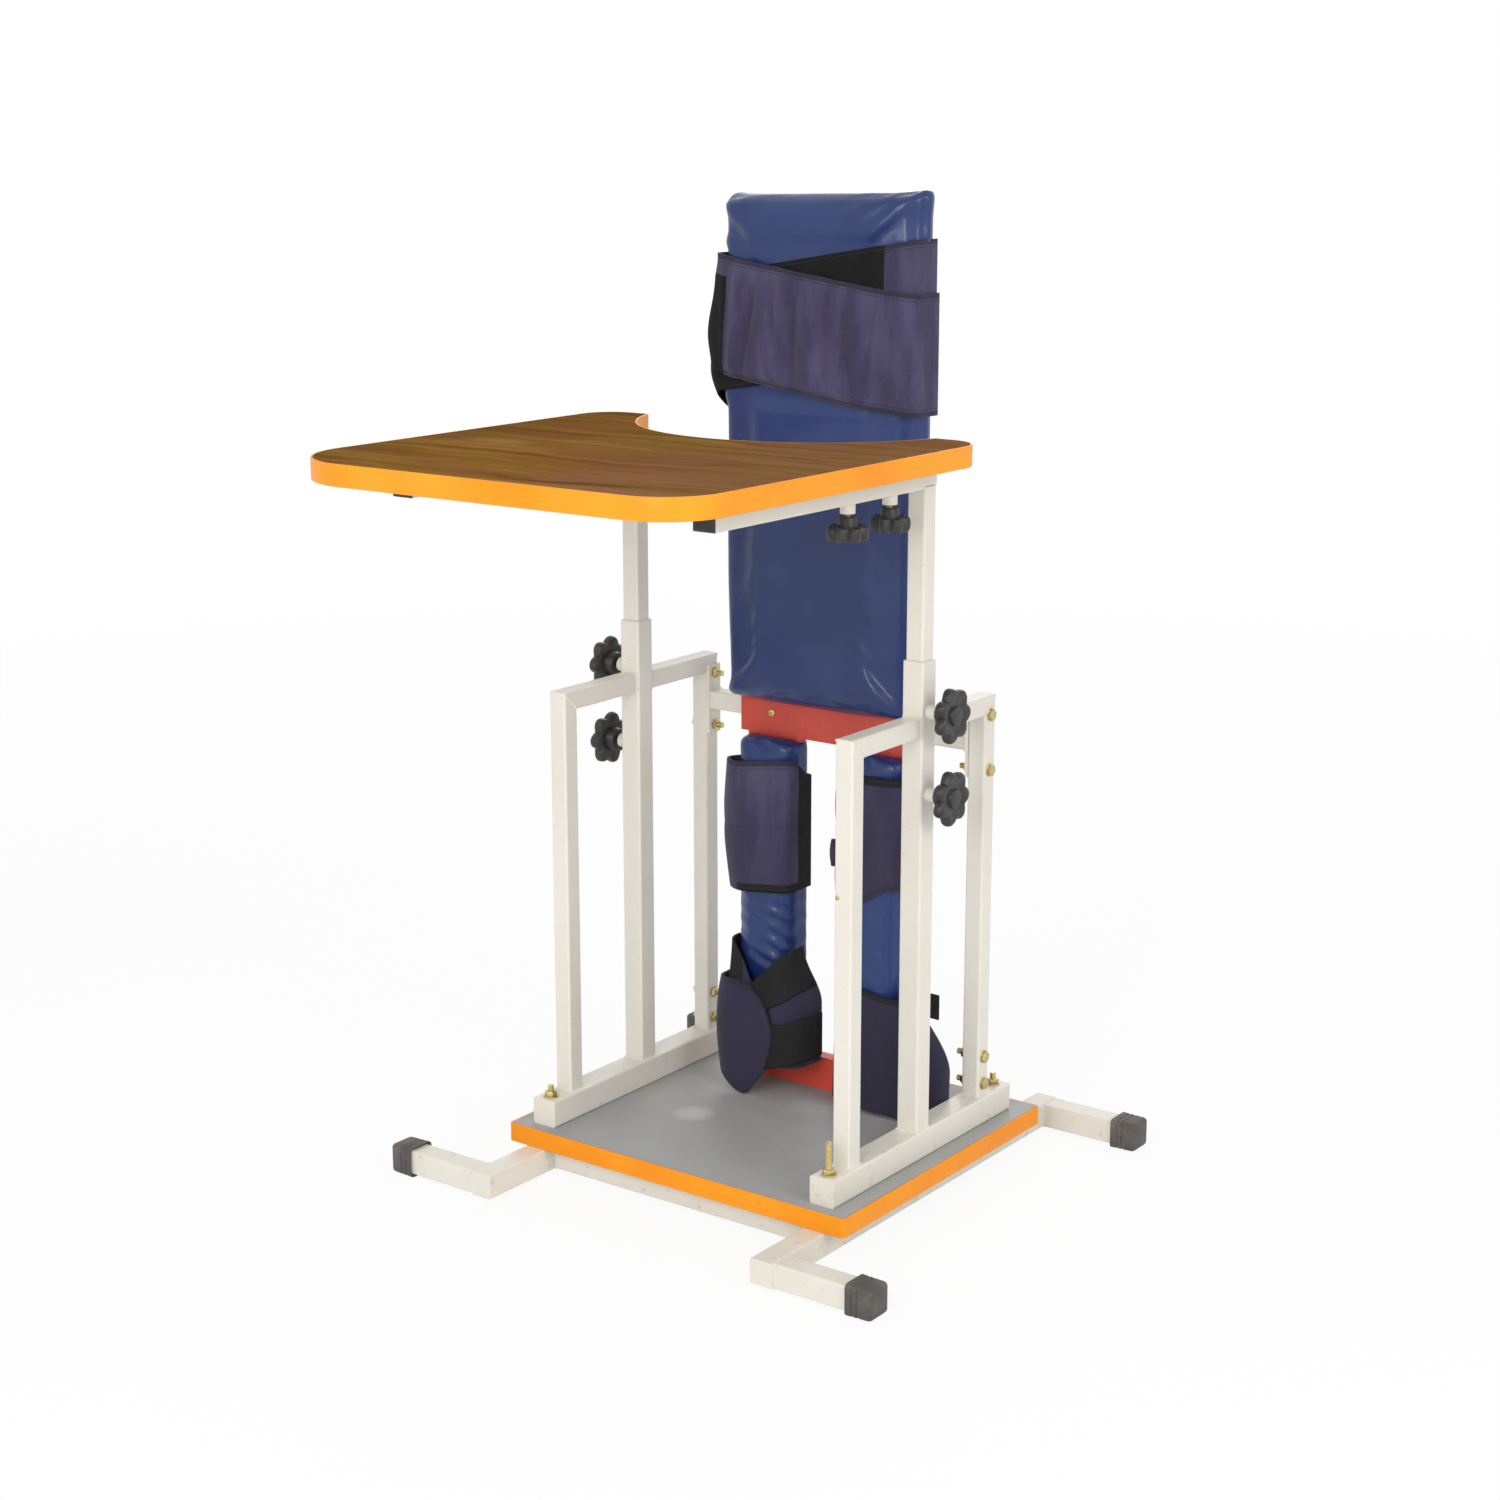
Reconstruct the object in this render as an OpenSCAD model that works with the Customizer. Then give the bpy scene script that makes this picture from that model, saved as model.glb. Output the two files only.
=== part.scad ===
// Standing frame: a footboard on a tubular base, two side frames, a padded back support with straps,
// and a tray that rises on two posts and slides forward on two rails.
// Millimetres. +Z up, +X to the user's side seen on the right from the front, +Y to the back support.
// The origin is on the floor, in the middle of the plan. Sizes along Y start at the footboard's middle.

/* [Base frame] */
// Side of the square base tubes
base_tube = 32; // [26:1:40]
// Wall of the base tubes
base_wall = 2; // [1:0.5:3]
// Outer corner radius of all the square tubes
tube_corner_r = 3; // [1:0.5:5]
// Reach of the runners in front of the footboard
runner_front_reach = 104; // [60:2:160]
// Reach of the runners behind the footboard
runner_back_reach = 94; // [60:2:160]
// Reach of the foot caps beside the runners
foot_reach = 140; // [100:2:200]
// Rubber around and under the tube in a foot cap
cap_wall = 4; // [3.5:0.5:6]
// Length of a foot cap
cap_len = 36; // [25:1:50]
// Setback of the cross tubes from the board's front and rear edges
cross_setback = 21; // [5:1:60]

/* [Base board] */
// Footboard beyond the middle planes of the side frames
board_margin = 45; // [30:1:70]
// Depth of the footboard
board_d = 462; // [430:2:560]
// Thickness of the footboard with its laminate
board_t = 25; // [18:1:32]
// Thickness of the footboard's laminate
board_laminate_t = 1; // [0.6:0.2:2]
// Thickness of the footboard's edging
board_edging_t = 3; // [1:0.5:5]
// Corner radius of the footboard
board_corner_r = 6; // [6:1:40]

/* [Side frames] */
// Distance between the middle planes of the side frames
side_spread = 440; // [400:5:470]
// Side of the square bottom rails
rail_tube = 36; // [32:1:40]
// Wall of the bottom rails
rail_wall = 2; // [1:0.5:3]
// Front ends of the bottom rails from the footboard's front edge
rail_front_setback = 19; // [8:1:30]
// Rear ends of the bottom rails from the footboard's rear edge
rail_back_setback = 34; // [20:1:50]
// Side of the square uprights and top rails
upright_tube = 25; // [20:1:30]
// Wall of the uprights and top rails
upright_wall = 2; // [1:0.5:3]
// Front upright's middle from the front end of its bottom rail
upright_front_setback = 52; // [42:1:70]
// Rear upright's middle from the rear end of its bottom rail
upright_back_setback = 60; // [48:1:80]
// Height of the top rails above the floor
frame_top = 632; // [620:2:670]
// Height of the post sleeves above the top rails
sleeve_rise = 69; // [40:1:110]
// Wall of the post sleeves and of the tray rails
sleeve_wall = 2; // [1.5:0.5:3]

/* [Height slide] */
// Side of the square inner posts and tray bars
post_tube = 25; // [20:1:30]
// Wall of the inner posts and tray bars
post_wall = 2; // [1:0.5:3]
// Middle of the posts in front of the board's middle
post_forward = 11; // [0:1:30]
// Clearance on each side of a sliding tube
slide_gap = 0.5; // [0.3:0.1:0.8]
// Length of a post inside its sleeve at the height shown
post_inside = 370; // [330:5:400]

/* [Tray] */
// Height of the tray's top above the post sleeves, as shown
tray_rise = 266; // [200:2:400]
// Tray beyond the middle planes of the side frames
tray_margin = 72.5; // [40:0.5:120]
// Depth of the tray from its front edge to its rear tips
tray_d = 595; // [520:5:640]
// Thickness of the tray with its laminate
tray_t = 26; // [18:1:32]
// Thickness of the tray's laminate
tray_laminate_t = 1; // [0.6:0.2:2]
// Thickness of the tray's edging
tray_edging_t = 3; // [1:0.5:5]
// Rear tips of the tray behind the board's middle
tray_back = 18; // [0:1:40]
// Radius of the tray's right front corner
tray_front_r = 72; // [30:2:100]
// Radius of the tray's left front corner
tray_left_r = 106; // [40:2:130]
// Radius of the tray's rear corners
tray_back_r = 48; // [20:2:70]
// Radius of the body cut-out
cut_r = 230; // [190:2:240]
// Depth of the body cut-out from the rear tips
cut_depth = 160; // [120:2:176]
// Front ends of the tray rails from the tray's front edge
tray_rail_setback = 137; // [80:1:160]
// Gap between a tray rail's rear end and its post
tray_rail_gap = 5; // [3:1:20]
// Front ends of the tray bars from the front ends of the tray rails
tray_bar_setback = 45; // [30:1:80]
// Thickness of a rail plug's flange
plug_flange = 3; // [2:0.5:6]
// Depth of a rail plug inside its rail
plug_depth = 15; // [8:1:18]

/* [Clamp knobs] */
// Diameter of the clamp studs
stud_d = 8; // [6:1:10]
// Diameter of the weld nuts that take the studs
weld_nut_d = 18; // [16:1:24]
// Length of the weld nuts
weld_nut_len = 12; // [8:1:16]
// Gap between a weld nut and a knob's hub
knob_gap = 4; // [2:1:10]
// Diameter of a knob's hub
knob_hub_d = 26; // [20:1:34]
// Length of a knob's hub
knob_hub_len = 10; // [6:1:16]
// Diameter of the height knobs over their lobes
height_knob_d = 70; // [60:1:80]
// Thickness of the height knobs
height_knob_t = 14; // [10:1:20]
// Upper height knobs below the sleeves' tops
knob_upper_drop = 63; // [45:1:70]
// Distance between the upper and the lower height knobs
knob_pitch = 103; // [85:1:140]
// Diameter of the tray knobs over their lobes
tray_knob_d = 50; // [40:1:60]
// Thickness of the tray knobs
tray_knob_t = 18; // [12:1:22]
// Front tray knobs in front of the board's middle
tray_knob_front = 169; // [155:1:190]
// Rear tray knobs in front of the board's middle
tray_knob_back = 81; // [60:1:90]
// Lobes around a knob
knob_lobes = 7; // [5:1:9]

/* [Back support] */
// Side of the square cross tube that carries the back board
cross_tube = 25; // [20:1:30]
// Wall of that cross tube
cross_wall = 2; // [1:0.5:3]
// Cross tube's middle below the tops of the side frames
upper_cross_drop = 61; // [52:1:90]
// Thickness of the cross tube's end plates
plate_t = 4; // [3:0.5:6]
// Bolts from the cross tube's faces
upper_bolt_gap = 23.5; // [10:0.5:28]
// Lowest bolts of the rear uprights above the bottom rails
lower_bolt_rise = 17; // [12:0.5:30]
// Distance between the two lowest bolts of a rear upright
lower_bolt_pitch = 37; // [30:1:60]
// Width of the angle brackets behind the back board's foot
bracket_w = 36; // [24:1:40]
// Height of those brackets
bracket_h = 36; // [28:1:50]
// Depth of those brackets on the footboard
bracket_d = 30; // [26:1:50]
// Thickness of those brackets
bracket_t = 3; // [2:0.5:5]
// Thickness of the plywood back board
back_board_t = 14; // [9:1:20]
// Height of the trunk pad
trunk_h = 660; // [550:5:800]
// Trunk pad's bottom above the cross tube's middle
trunk_rise = 19; // [14:1:30]
// Height of the bare hip strip of the back board
hip_strip_h = 48; // [38:1:60]
// Height of the bare foot strip of the back board
foot_strip_h = 45; // [36:1:52]
// Width of the trunk pad at the chest
trunk_w = 298; // [270:2:330]
// Width of the trunk pad at the hip
trunk_hip_w = 290; // [270:2:298]
// Depth of the trunk pad over its board
trunk_d = 51; // [45:1:60]
// Width of a leg pad
leg_w = 96; // [86:1:104]
// Depth of a leg pad over its board
leg_d = 47; // [40:1:52]
// Distance between the middles of the leg pads
leg_spread = 170; // [160:1:180]
// Pad beyond the edge of its board
pad_wrap = 6; // [5:0.5:10]

/* [Straps] */
// Width of the chest bands
chest_band_w = 150; // [120:2:170]
// Middle of the outer chest band below the trunk pad's top
chest_outer_below = 174; // [140:1:260]
// Middle of the inner chest band below the trunk pad's top
chest_inner_below = 154; // [130:1:240]
// Drop of the outer chest band from left to right
chest_outer_drop = 42; // [0:2:60]
// Rise of the inner chest band from left to right
chest_inner_rise = 50; // [0:2:60]
// Thickness of the chest bands
chest_band_t = 3; // [2:0.5:5]
// Slack loop of the outer chest band on the left side
chest_loop = 18; // [0:1:30]
// Lower edge of a knee cuff, as a share of the leg pad's length
cuff_low_share = 0.515; // [0.45:0.005:0.6]
// Upper edge of a knee cuff, as a share of the leg pad's length
cuff_high_share = 0.915; // [0.8:0.005:0.97]
// Thickness of a knee cuff
cuff_t = 4; // [3:0.5:6]
// Slack of a knee cuff on the outer side of the leg
cuff_slack = 18; // [0:1:24]
// Upper edge of an ankle wrap, as a share of the leg pad's length
wrap_high_share = 0.35; // [0.25:0.005:0.42]
// Half width of an ankle wrap at its widest
wrap_half_w = 76; // [64:1:84]
// Depth of an ankle wrap at the foot
wrap_d = 82; // [60:1:90]
// Thickness of an ankle wrap
wrap_t = 4; // [3:0.5:6]
// Lean of the left ankle wrap to the right at the foot
wrap_lean = 24; // [0:1:30]
// Reach of the right ankle wrap beside the middle of its leg at the foot
wrap_reach = 110; // [80:1:112]
// Depth of the right ankle wrap at the foot, in front of the back board
wrap_right_d = 46; // [42:1:60]
// Rise of the left wrap's lower edge away from its flap
wrap_flap_rise = 46; // [0:2:60]

/* [Fasteners] */
// Diameter of the frame bolts
bolt_d = 8; // [6:1:10]
// Hole clearance around a bolt, on the radius
bolt_clear = 0.3; // [0.2:0.1:0.8]
// Width across the corners of a hexagon head or nut
hex_w = 15; // [13:0.5:16]
// Height of a hexagon head
head_h = 5; // [3:0.5:7]
// Height of a nut
nut_h = 6; // [4:0.5:8]
// Diameter of a washer
washer_d = 20; // [18:0.5:22]
// Thickness of a washer
washer_t = 1.6; // [1:0.2:2.4]
// Base bolts from the ends of the bottom rails
base_bolt_inset = 14; // [12:0.5:15]
// Diameter of a base bolt's flat head under the runner
base_head_d = 18; // [14:0.5:22]
// Height of a base bolt's flat head
base_head_h = 2.5; // [1.5:0.5:3]
// Thread that stands out of a nut
thread_out = 8; // [3:1:14]
// Thread that stands out of the front right base nut
long_thread_out = 34; // [8:1:50]
// Diameter of the wood screws
screw_d = 5; // [3:0.5:6]
// Diameter of a wood screw's head
screw_head_d = 10; // [8:0.5:12]
// Height of a wood screw's head
screw_head_h = 2.5; // [1.5:0.5:4]
// Half the distance between the screws in the hip strip
hip_screw_reach = 88; // [40:1:110]
// Length and width of a tray tab
tab_side = 28; // [20:1:36]
// Thickness of a tray tab
tab_t = 3; // [2:0.5:5]
// Front tray tabs from the front ends of the tray rails
tab_setback = 35; // [18:1:60]
// Rear tray tabs in front of the board's middle
tab_back = 110; // [60:2:140]

/* [Hidden] */
$fn = 48;

// Finishes
steel_paint = [0.90, 0.87, 0.82];
rubber_grey = [0.30, 0.28, 0.27];
knob_black = [0.13, 0.12, 0.12];
zinc_gold = [0.63, 0.55, 0.33];
plywood_red = [0.62, 0.20, 0.16];
laminate_grey = [0.58, 0.58, 0.58];
edging_orange = [1.0, 0.55, 0.12];
edging_yellow = [1.0, 0.66, 0.20];
wood_brown = [0.50, 0.36, 0.20];
core_tan = [0.70, 0.58, 0.42];
vinyl_blue = [0.21, 0.27, 0.48];
cloth_purple = [0.30, 0.28, 0.42];

// Cutters run past the faces they open by this much
overrun = 1;
// Slack of a running stud in its weld nut, on the radius
stud_fit = 0.05;
// Gap between a clamp stud's tip and the tube it presses on
clamp_gap = 0.2;
// Gap between a pad and its board
pad_gap = 0.3;
// Gap between a pad's back and the plane behind its board
pad_clear = 0.5;
// Gap between a strap and the pad under it
sheet_gap = 0.6;
// Gap between the two ankle wraps, and of a wrap above the footboard
wrap_clear = 1;
// Slack of a plug in its rail
plug_fit = 0.2;
// Plates that close the ends of tubes
end_plate_t = 2;
// Least inner corner radius of a tube
inner_corner_r = 0.5;
// End plate beyond the middle of its bolt
plate_margin = 11;
// Lobes of a knob and its solid middle, as shares of its diameter
lobe_share = 0.15;
knob_core_share = 0.38;
// Wood screw bite into the tray, as a share of the tray's core
bite_share = 0.6;
// Wood screw bite into the back board, as a share of its thickness
board_bite_share = 0.8;
// Roundness of the pads' outlines
pad_power = 5;
// Radius of the pads' ends
pad_end_r = 12;
// Height over which the trunk pad widens, as a share of its own height
taper_share = 0.35;
// Draw-in of the pads' sides at half height, and the crown of their fronts along the height
draw_share = 0.008;
crown_share = 0.05;
// Depth of the folds in the chest bands and in the wraps
fold_depth = 2.5;
wrap_fold_depth = 5;
// Part of a side, from the back, over which a slack loop stands out
loop_reach_share = 0.8;
// Slack of the inner chest band beside the outer band's
inner_loop_share = 0.3;

board_w = side_spread + board_margin*2;
tray_w = side_spread + tray_margin*2;
rail_front = board_d/2 - rail_front_setback;
rail_back = board_d/2 - rail_back_setback;
runner_front = board_d/2 + runner_front_reach;
runner_back = board_d/2 + runner_back_reach;
foot_span = side_spread + base_tube + foot_reach*2;
upright_front = rail_front - upright_front_setback;
upright_back = rail_back - upright_back_setback;
sleeve_top = frame_top + sleeve_rise;
tray_top = sleeve_top + tray_rise;
knob_upper_z = sleeve_top - knob_upper_drop;
knob_lower_z = knob_upper_z - knob_pitch;
upper_cross_z = frame_top - upper_cross_drop;
trunk_bottom = upper_cross_z + trunk_rise;
trunk_top = trunk_bottom + trunk_h;
hip_bottom = trunk_bottom - hip_strip_h;
upper_bolt_reach = cross_tube/2 + upper_bolt_gap;
chest_outer_z = trunk_top - chest_outer_below;
chest_inner_z = trunk_top - chest_inner_below;
base_z = cap_wall;
base_mid = base_z + base_tube/2;
base_top = base_z + base_tube;
board_top = base_top + board_t;
rail_mid = board_top + rail_tube/2;
rail_top = board_top + rail_tube;
side_x = side_spread/2;
sleeve_tube = post_tube + (slide_gap + sleeve_wall)*2;
post_y = -post_forward;
upright_half = upright_tube/2;
tray_front = tray_d - tray_back;
tray_rail_front = tray_front - tray_rail_setback;
tray_bar_front = tray_rail_front - tray_bar_setback;
tab_front = tray_rail_front - tab_setback;
tray_under = tray_top - tray_t;
tray_rail_mid = tray_under - sleeve_tube/2;
tray_rail_under = tray_under - sleeve_tube;
bar_under = tray_rail_mid - post_tube/2;
bar_back = post_y + post_tube/2;
tray_rail_back = post_y - post_tube/2 - tray_rail_gap;
cut_y = tray_back - cut_depth + cut_r;
tab_x = side_x - sleeve_tube/2 - tab_side/2;
tray_core_t = tray_t - tray_laminate_t;
plate_x = side_x - upright_half - plate_t;
lower_bolt_z = rail_top + lower_bolt_rise;
bracket_screw_share = 0.62;
bracket_screw_z = board_top + bracket_h*bracket_screw_share;
board_back_y = upright_back - cross_tube/2;
board_front_y = board_back_y - back_board_t;
pad_back_y = board_back_y - pad_clear;
wrap_back_y = board_front_y - pad_gap;
foot_top = board_top + foot_strip_h;
leg_h = hip_bottom - foot_top;
cuff_bottom = foot_top + leg_h*cuff_low_share;
cuff_h = leg_h*(cuff_high_share - cuff_low_share);
wrap_top = foot_top + leg_h*wrap_high_share;
leg_x = leg_spread/2;
leg_in = leg_x - leg_w/2 + pad_wrap;
leg_out = leg_x + leg_w/2 - pad_wrap;
trunk_board_half = trunk_w/2 - pad_wrap;
hip_board_half = trunk_hip_w/2 - pad_wrap;
trunk_board_top = trunk_top - pad_wrap;
wrap_half = min(wrap_half_w, leg_spread/2 - wrap_clear);
// Reach of the right wrap, held clear of its bottom rail
right_reach = max(wrap_half, min(wrap_reach, side_x - rail_tube/2 - wrap_clear*2 - leg_x));
knob_stud_len = sleeve_tube/2 - post_tube/2 - clamp_gap + weld_nut_len + knob_gap;
bolt_hole_r = bolt_d/2 + bolt_clear;
stud_hole_r = stud_d/2 + bolt_clear;
screw_hole_r = screw_d/2 + bolt_clear;
base_bolt_ys = [-rail_front + base_bolt_inset, rail_back - base_bolt_inset];
foot_ys = [-runner_front + base_tube/2, runner_back - base_tube/2];
tab_ys = [-tab_front, -tab_back];
knob_zs = [knob_lower_z, knob_upper_z];
sides = [-1, 1];
// Shift that puts the middle of the plan at the origin
plan_shift = (tray_front - runner_back - cap_wall)/2;

// Curves for the soft pieces
function ease(t) = let (c = max(0, min(1, t))) c*c*(3 - 2*c);
function side_share(c, p) = pow(max(0, 1 - pow(abs(c), p)), 1/p);
// Points round three sides of a pad, left, front and right, as shares of its half width and depth
function outline_shares(along_side, along_front, p) =
  let (k = pow(0.5, 1/p))
  concat(
    [for (i = [0 : along_side - 1]) let (d = k*i/along_side) [-side_share(d, p), d]],
    [for (i = [0 : along_front]) let (c = -k + 2*k*i/along_front) [c, side_share(c, p)]],
    [for (i = [along_side - 1 : -1 : 0]) let (d = k*i/along_side) [side_share(d, p), d]]);
side_points = 4;
trunk_points = 22;
leg_points = 12;
trunk_shares = outline_shares(side_points, trunk_points, pad_power);
leg_shares = outline_shares(side_points, leg_points, pad_power);
// Inset of a pad's outline near its rounded ends
function end_inset(z, low, high) =
  let (d = min(z - low, high - z, pad_end_r))
  pad_end_r - sqrt(max(0, pow(pad_end_r, 2) - pow(pad_end_r - d, 2)));
// Heights of a pad's rings, close together at the rounded ends
function ring_heights(low, high, count) = concat(
  [for (i = [0 : 3]) low + pad_end_r*(1 - cos(90*i/4))],
  [for (i = [0 : count]) low + pad_end_r + (high - low - 2*pad_end_r)*i/count],
  [for (i = [3 : -1 : 0]) high - pad_end_r*(1 - cos(90*i/4))]);
function trunk_t(z) = (z - trunk_bottom)/(trunk_top - trunk_bottom);
function trunk_half(z) =
  (trunk_hip_w + (trunk_w - trunk_hip_w)*ease(trunk_t(z)/taper_share))/2*(1 - draw_share*sin(180*trunk_t(z)));
function trunk_depth(z) = (trunk_d - pad_clear)*(1 - crown_share*pow(2*trunk_t(z) - 1, 4));
function leg_t(z) = (z - foot_top)/leg_h;
function leg_half(z) = leg_w/2*(1 - draw_share*sin(180*leg_t(z)));
function leg_depth(z) = (leg_d - pad_clear)*(1 - crown_share*pow(2*leg_t(z) - 1, 4));
function loop_rise(s) = s[0] < 0 && s[1] < loop_reach_share ? sin(180*s[1]/loop_reach_share) : 0;
function mean(points) = [for (k = [0 : 2]) [for (q = points) q[k]]*[for (q = points) 1]/len(points)];

// Closed skin through rings of points, each ring counter-clockwise as seen from the last one
module loft(rings) {
  n = len(rings[0]);
  m = len(rings);
  points = concat([for (r = rings) each r], [mean(rings[0]), mean(rings[m - 1])]);
  skin = [for (i = [0 : m - 2]) for (j = [0 : n - 1])
    let (a = i*n + j, b = i*n + (j + 1)%n, c = b + n, d = a + n) each [[a, d, c], [a, c, b]]];
  low = [for (j = [0 : n - 1]) [m*n, j, (j + 1)%n]];
  high = [for (j = [0 : n - 1]) [m*n + 1, (m - 1)*n + (j + 1)%n, (m - 1)*n + j]];
  polyhedron(points, concat(skin, low, high));
}

// Cloth of a given thickness: each station holds its inner points upward, then its outer points downward
module cloth(stations) {
  n = len(stations[0]);
  m = len(stations);
  last = (m - 1)*n;
  points = [for (r = stations) each r];
  skin = [for (i = [0 : m - 2]) for (j = [0 : n - 1])
    let (a = i*n + j, b = i*n + (j + 1)%n, c = b + n, d = a + n) each [[a, d, c], [a, c, b]]];
  low = [for (v = [0 : n/2 - 2]) each [[v, v + 1, n - 2 - v], [v, n - 2 - v, n - 1 - v]]];
  high = [for (v = [0 : n/2 - 2])
    each [[last + v, last + n - 2 - v, last + v + 1], [last + v, last + n - 1 - v, last + n - 2 - v]]];
  polyhedron(points, concat(skin, low, high));
}

// Square with round corners, the section of a tube
module round_square(side, r) {
  square([side - r*2, side], center = true);
  square([side, side - r*2], center = true);
  for (x = sides) for (y = sides) translate([x*(side/2 - r), y*(side/2 - r)]) circle(r);
}

// Square bar and tubes along the three axes
module bar_z(side, r, from, to) {
  translate([0, 0, from]) linear_extrude(to - from) round_square(side, r);
}

module bar_y(side, r, from, to) {
  rotate([-90, 0, 0]) bar_z(side, r, from, to);
}

module bar_x(side, r, from, to) {
  rotate([0, 90, 0]) bar_z(side, r, from, to);
}

module tube_z(side, wall, from, to) {
  difference() {
    bar_z(side, tube_corner_r, from, to);
    bar_z(side - wall*2, max(tube_corner_r - wall, inner_corner_r), from - overrun, to + overrun);
  }
}

module tube_y(side, wall, from, to) {
  rotate([-90, 0, 0]) tube_z(side, wall, from, to);
}

module tube_x(side, wall, from, to) {
  rotate([0, 90, 0]) tube_z(side, wall, from, to);
}

module rod_x(r, from, to) {
  translate([from, 0, 0]) rotate([0, 90, 0]) cylinder(r = r, h = to - from);
}

module rod_y(r, from, to) {
  translate([0, from, 0]) rotate([-90, 0, 0]) cylinder(r = r, h = to - from);
}

module rod_z(r, from, to) {
  translate([0, 0, from]) cylinder(r = r, h = to - from);
}

// Outline in the plane of a side frame, thick along X
module frame_slab(points, thick) {
  rotate([90, 0, 90]) translate([0, 0, -thick/2]) linear_extrude(thick) polygon(points);
}

// Outline facing the front, thick along Y
module front_slab(points, from, to) {
  translate([0, to, 0]) rotate([90, 0, 0]) linear_extrude(to - from) polygon(points);
}

module round_plate(w, d, r, from, to) {
  translate([0, 0, from]) linear_extrude(to - from) union() {
    square([w - r*2, d], center = true);
    square([w, d - r*2], center = true);
    for (x = sides) for (y = sides) translate([x*(w/2 - r), y*(d/2 - r)]) circle(r);
  }
}

module tray_outline(inset) {
  x = tray_w/2 - inset;
  front = -tray_front + inset;
  back = tray_back - inset;
  rf = tray_front_r - inset;
  rl = tray_left_r - inset;
  rb = tray_back_r - inset;
  difference() {
    union() {
      polygon([[-x, front + rl], [-x + rl, front], [x - rf, front], [x, front + rf],
        [x, back - rb], [x - rb, back], [-x + rb, back], [-x, back - rb]]);
      translate([-x + rl, front + rl]) circle(rl);
      translate([x - rf, front + rf]) circle(rf);
      for (s = sides) translate([s*(x - rb), back - rb]) circle(rb);
    }
    translate([0, cut_y]) circle(cut_r + inset);
  }
}

// Places of fasteners
module at_base_bolts() {
  for (s = sides) for (y = base_bolt_ys) translate([s*side_x, y, 0]) children();
}

module at_side(side) {
  translate([side*side_x, 0, 0]) children();
}

// Left or right side, with +X of the children pointing outwards
module outward(side) {
  rotate([0, 0, side < 0 ? 180 : 0]) children();
}

// Heights of the bolts through a rear upright, and the faces that their nuts sit on
bolt_zs = [upper_cross_z - upper_bolt_reach, upper_cross_z + upper_bolt_reach,
  lower_bolt_z, lower_bolt_z + lower_bolt_pitch];
nut_xs = [plate_x, plate_x, plate_x + plate_t, plate_x + plate_t];

// Places of the screws that hold the back board's brackets down
module at_bracket_screws() {
  for (s = sides) translate([s*leg_x, board_back_y + bracket_d*bracket_screw_share, 0]) children();
}

module base_runner(side) {
  color(steel_paint) difference() {
    at_side(side) translate([0, 0, base_mid]) tube_y(base_tube, base_wall, -runner_front, runner_back);
    at_base_bolts() rod_z(bolt_hole_r, base_z - overrun, base_top + overrun);
  }
}

module foot_stubs() {
  out = foot_span/2 - cap_wall;
  color(steel_paint) for (s = sides) for (y = foot_ys) translate([0, y, base_mid])
    outward(s) tube_x(base_tube, base_wall, side_x + base_tube/2, out);
}

module foot_caps() {
  outer = base_tube + cap_wall*2;
  out = foot_span/2;
  color(rubber_grey) for (s = sides) for (y = foot_ys) translate([0, y, base_mid]) outward(s) difference() {
    bar_x(outer, tube_corner_r + cap_wall/2, out - cap_len, out);
    bar_x(base_tube, tube_corner_r, out - cap_len - overrun, out - cap_wall);
  }
}

module base_cross_tubes() {
  reach = board_d/2 - cross_setback - base_tube/2;
  inner = side_x - base_tube/2;
  color(steel_paint) for (f = sides) translate([0, f*reach, base_mid])
    tube_x(base_tube, base_wall, -inner, inner);
}

module tube_end_plates() {
  t = end_plate_t;
  color(steel_paint) for (s = sides) {
    translate([s*side_x, 0, base_mid]) bar_y(base_tube, tube_corner_r, -runner_front - t, -runner_front);
    translate([s*side_x, 0, base_mid]) bar_y(base_tube, tube_corner_r, runner_back, runner_back + t);
    translate([s*side_x, 0, rail_mid]) bar_y(rail_tube, tube_corner_r, -rail_front, -rail_front + t);
    translate([s*side_x, 0, rail_mid]) bar_y(rail_tube, tube_corner_r, rail_back - t, rail_back);
  }
}

// Footboard inside its edging, between two heights
module board_slab(from, to) {
  edge = board_edging_t;
  round_plate(board_w - edge*2, board_d - edge*2, board_corner_r - edge, from, to);
}

module base_board() {
  color(core_tan) difference() {
    board_slab(base_top, board_top - board_laminate_t);
    at_base_bolts() rod_z(bolt_hole_r, base_top - overrun, board_top);
    at_bracket_screws() rod_z(screw_hole_r, board_top - board_t*board_bite_share - bolt_clear, board_top);
  }
}

module base_laminate() {
  color(laminate_grey) difference() {
    board_slab(board_top - board_laminate_t, board_top);
    at_base_bolts() rod_z(bolt_hole_r, base_top, board_top + overrun);
    at_bracket_screws() rod_z(screw_hole_r, base_top, board_top + overrun);
  }
}

module base_edging() {
  color(edging_orange) difference() {
    round_plate(board_w, board_d, board_corner_r, base_top, board_top);
    board_slab(base_top - overrun, board_top + overrun);
  }
}

module bottom_rail(side) {
  color(steel_paint) difference() {
    at_side(side) translate([0, 0, rail_mid])
      tube_y(rail_tube, rail_wall, -rail_front + end_plate_t, rail_back - end_plate_t);
    at_base_bolts() rod_z(bolt_hole_r, board_top - overrun, rail_top + overrun);
  }
}

// Cutter along the mitre of a corner; y is the upright's middle, inward is +1 where the frame lies toward +Y,
// and keep is +1 to keep the upright or -1 to keep the rail
module mitre_cut(y, inward, keep) {
  past = upright_half + overrun;
  mid = frame_top - upright_half;
  frame_slab([[y - past*inward, mid + past], [y + past*inward, mid - past],
    [y + past*inward*keep, mid + past*keep]], upright_tube + overrun*2);
}

module upright(y, inward) {
  difference() {
    translate([0, y, 0]) tube_z(upright_tube, upright_wall, rail_top, frame_top);
    mitre_cut(y, inward, 1);
  }
}

module front_upright(side) {
  color(steel_paint) at_side(side) upright(-upright_front, 1);
}

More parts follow.
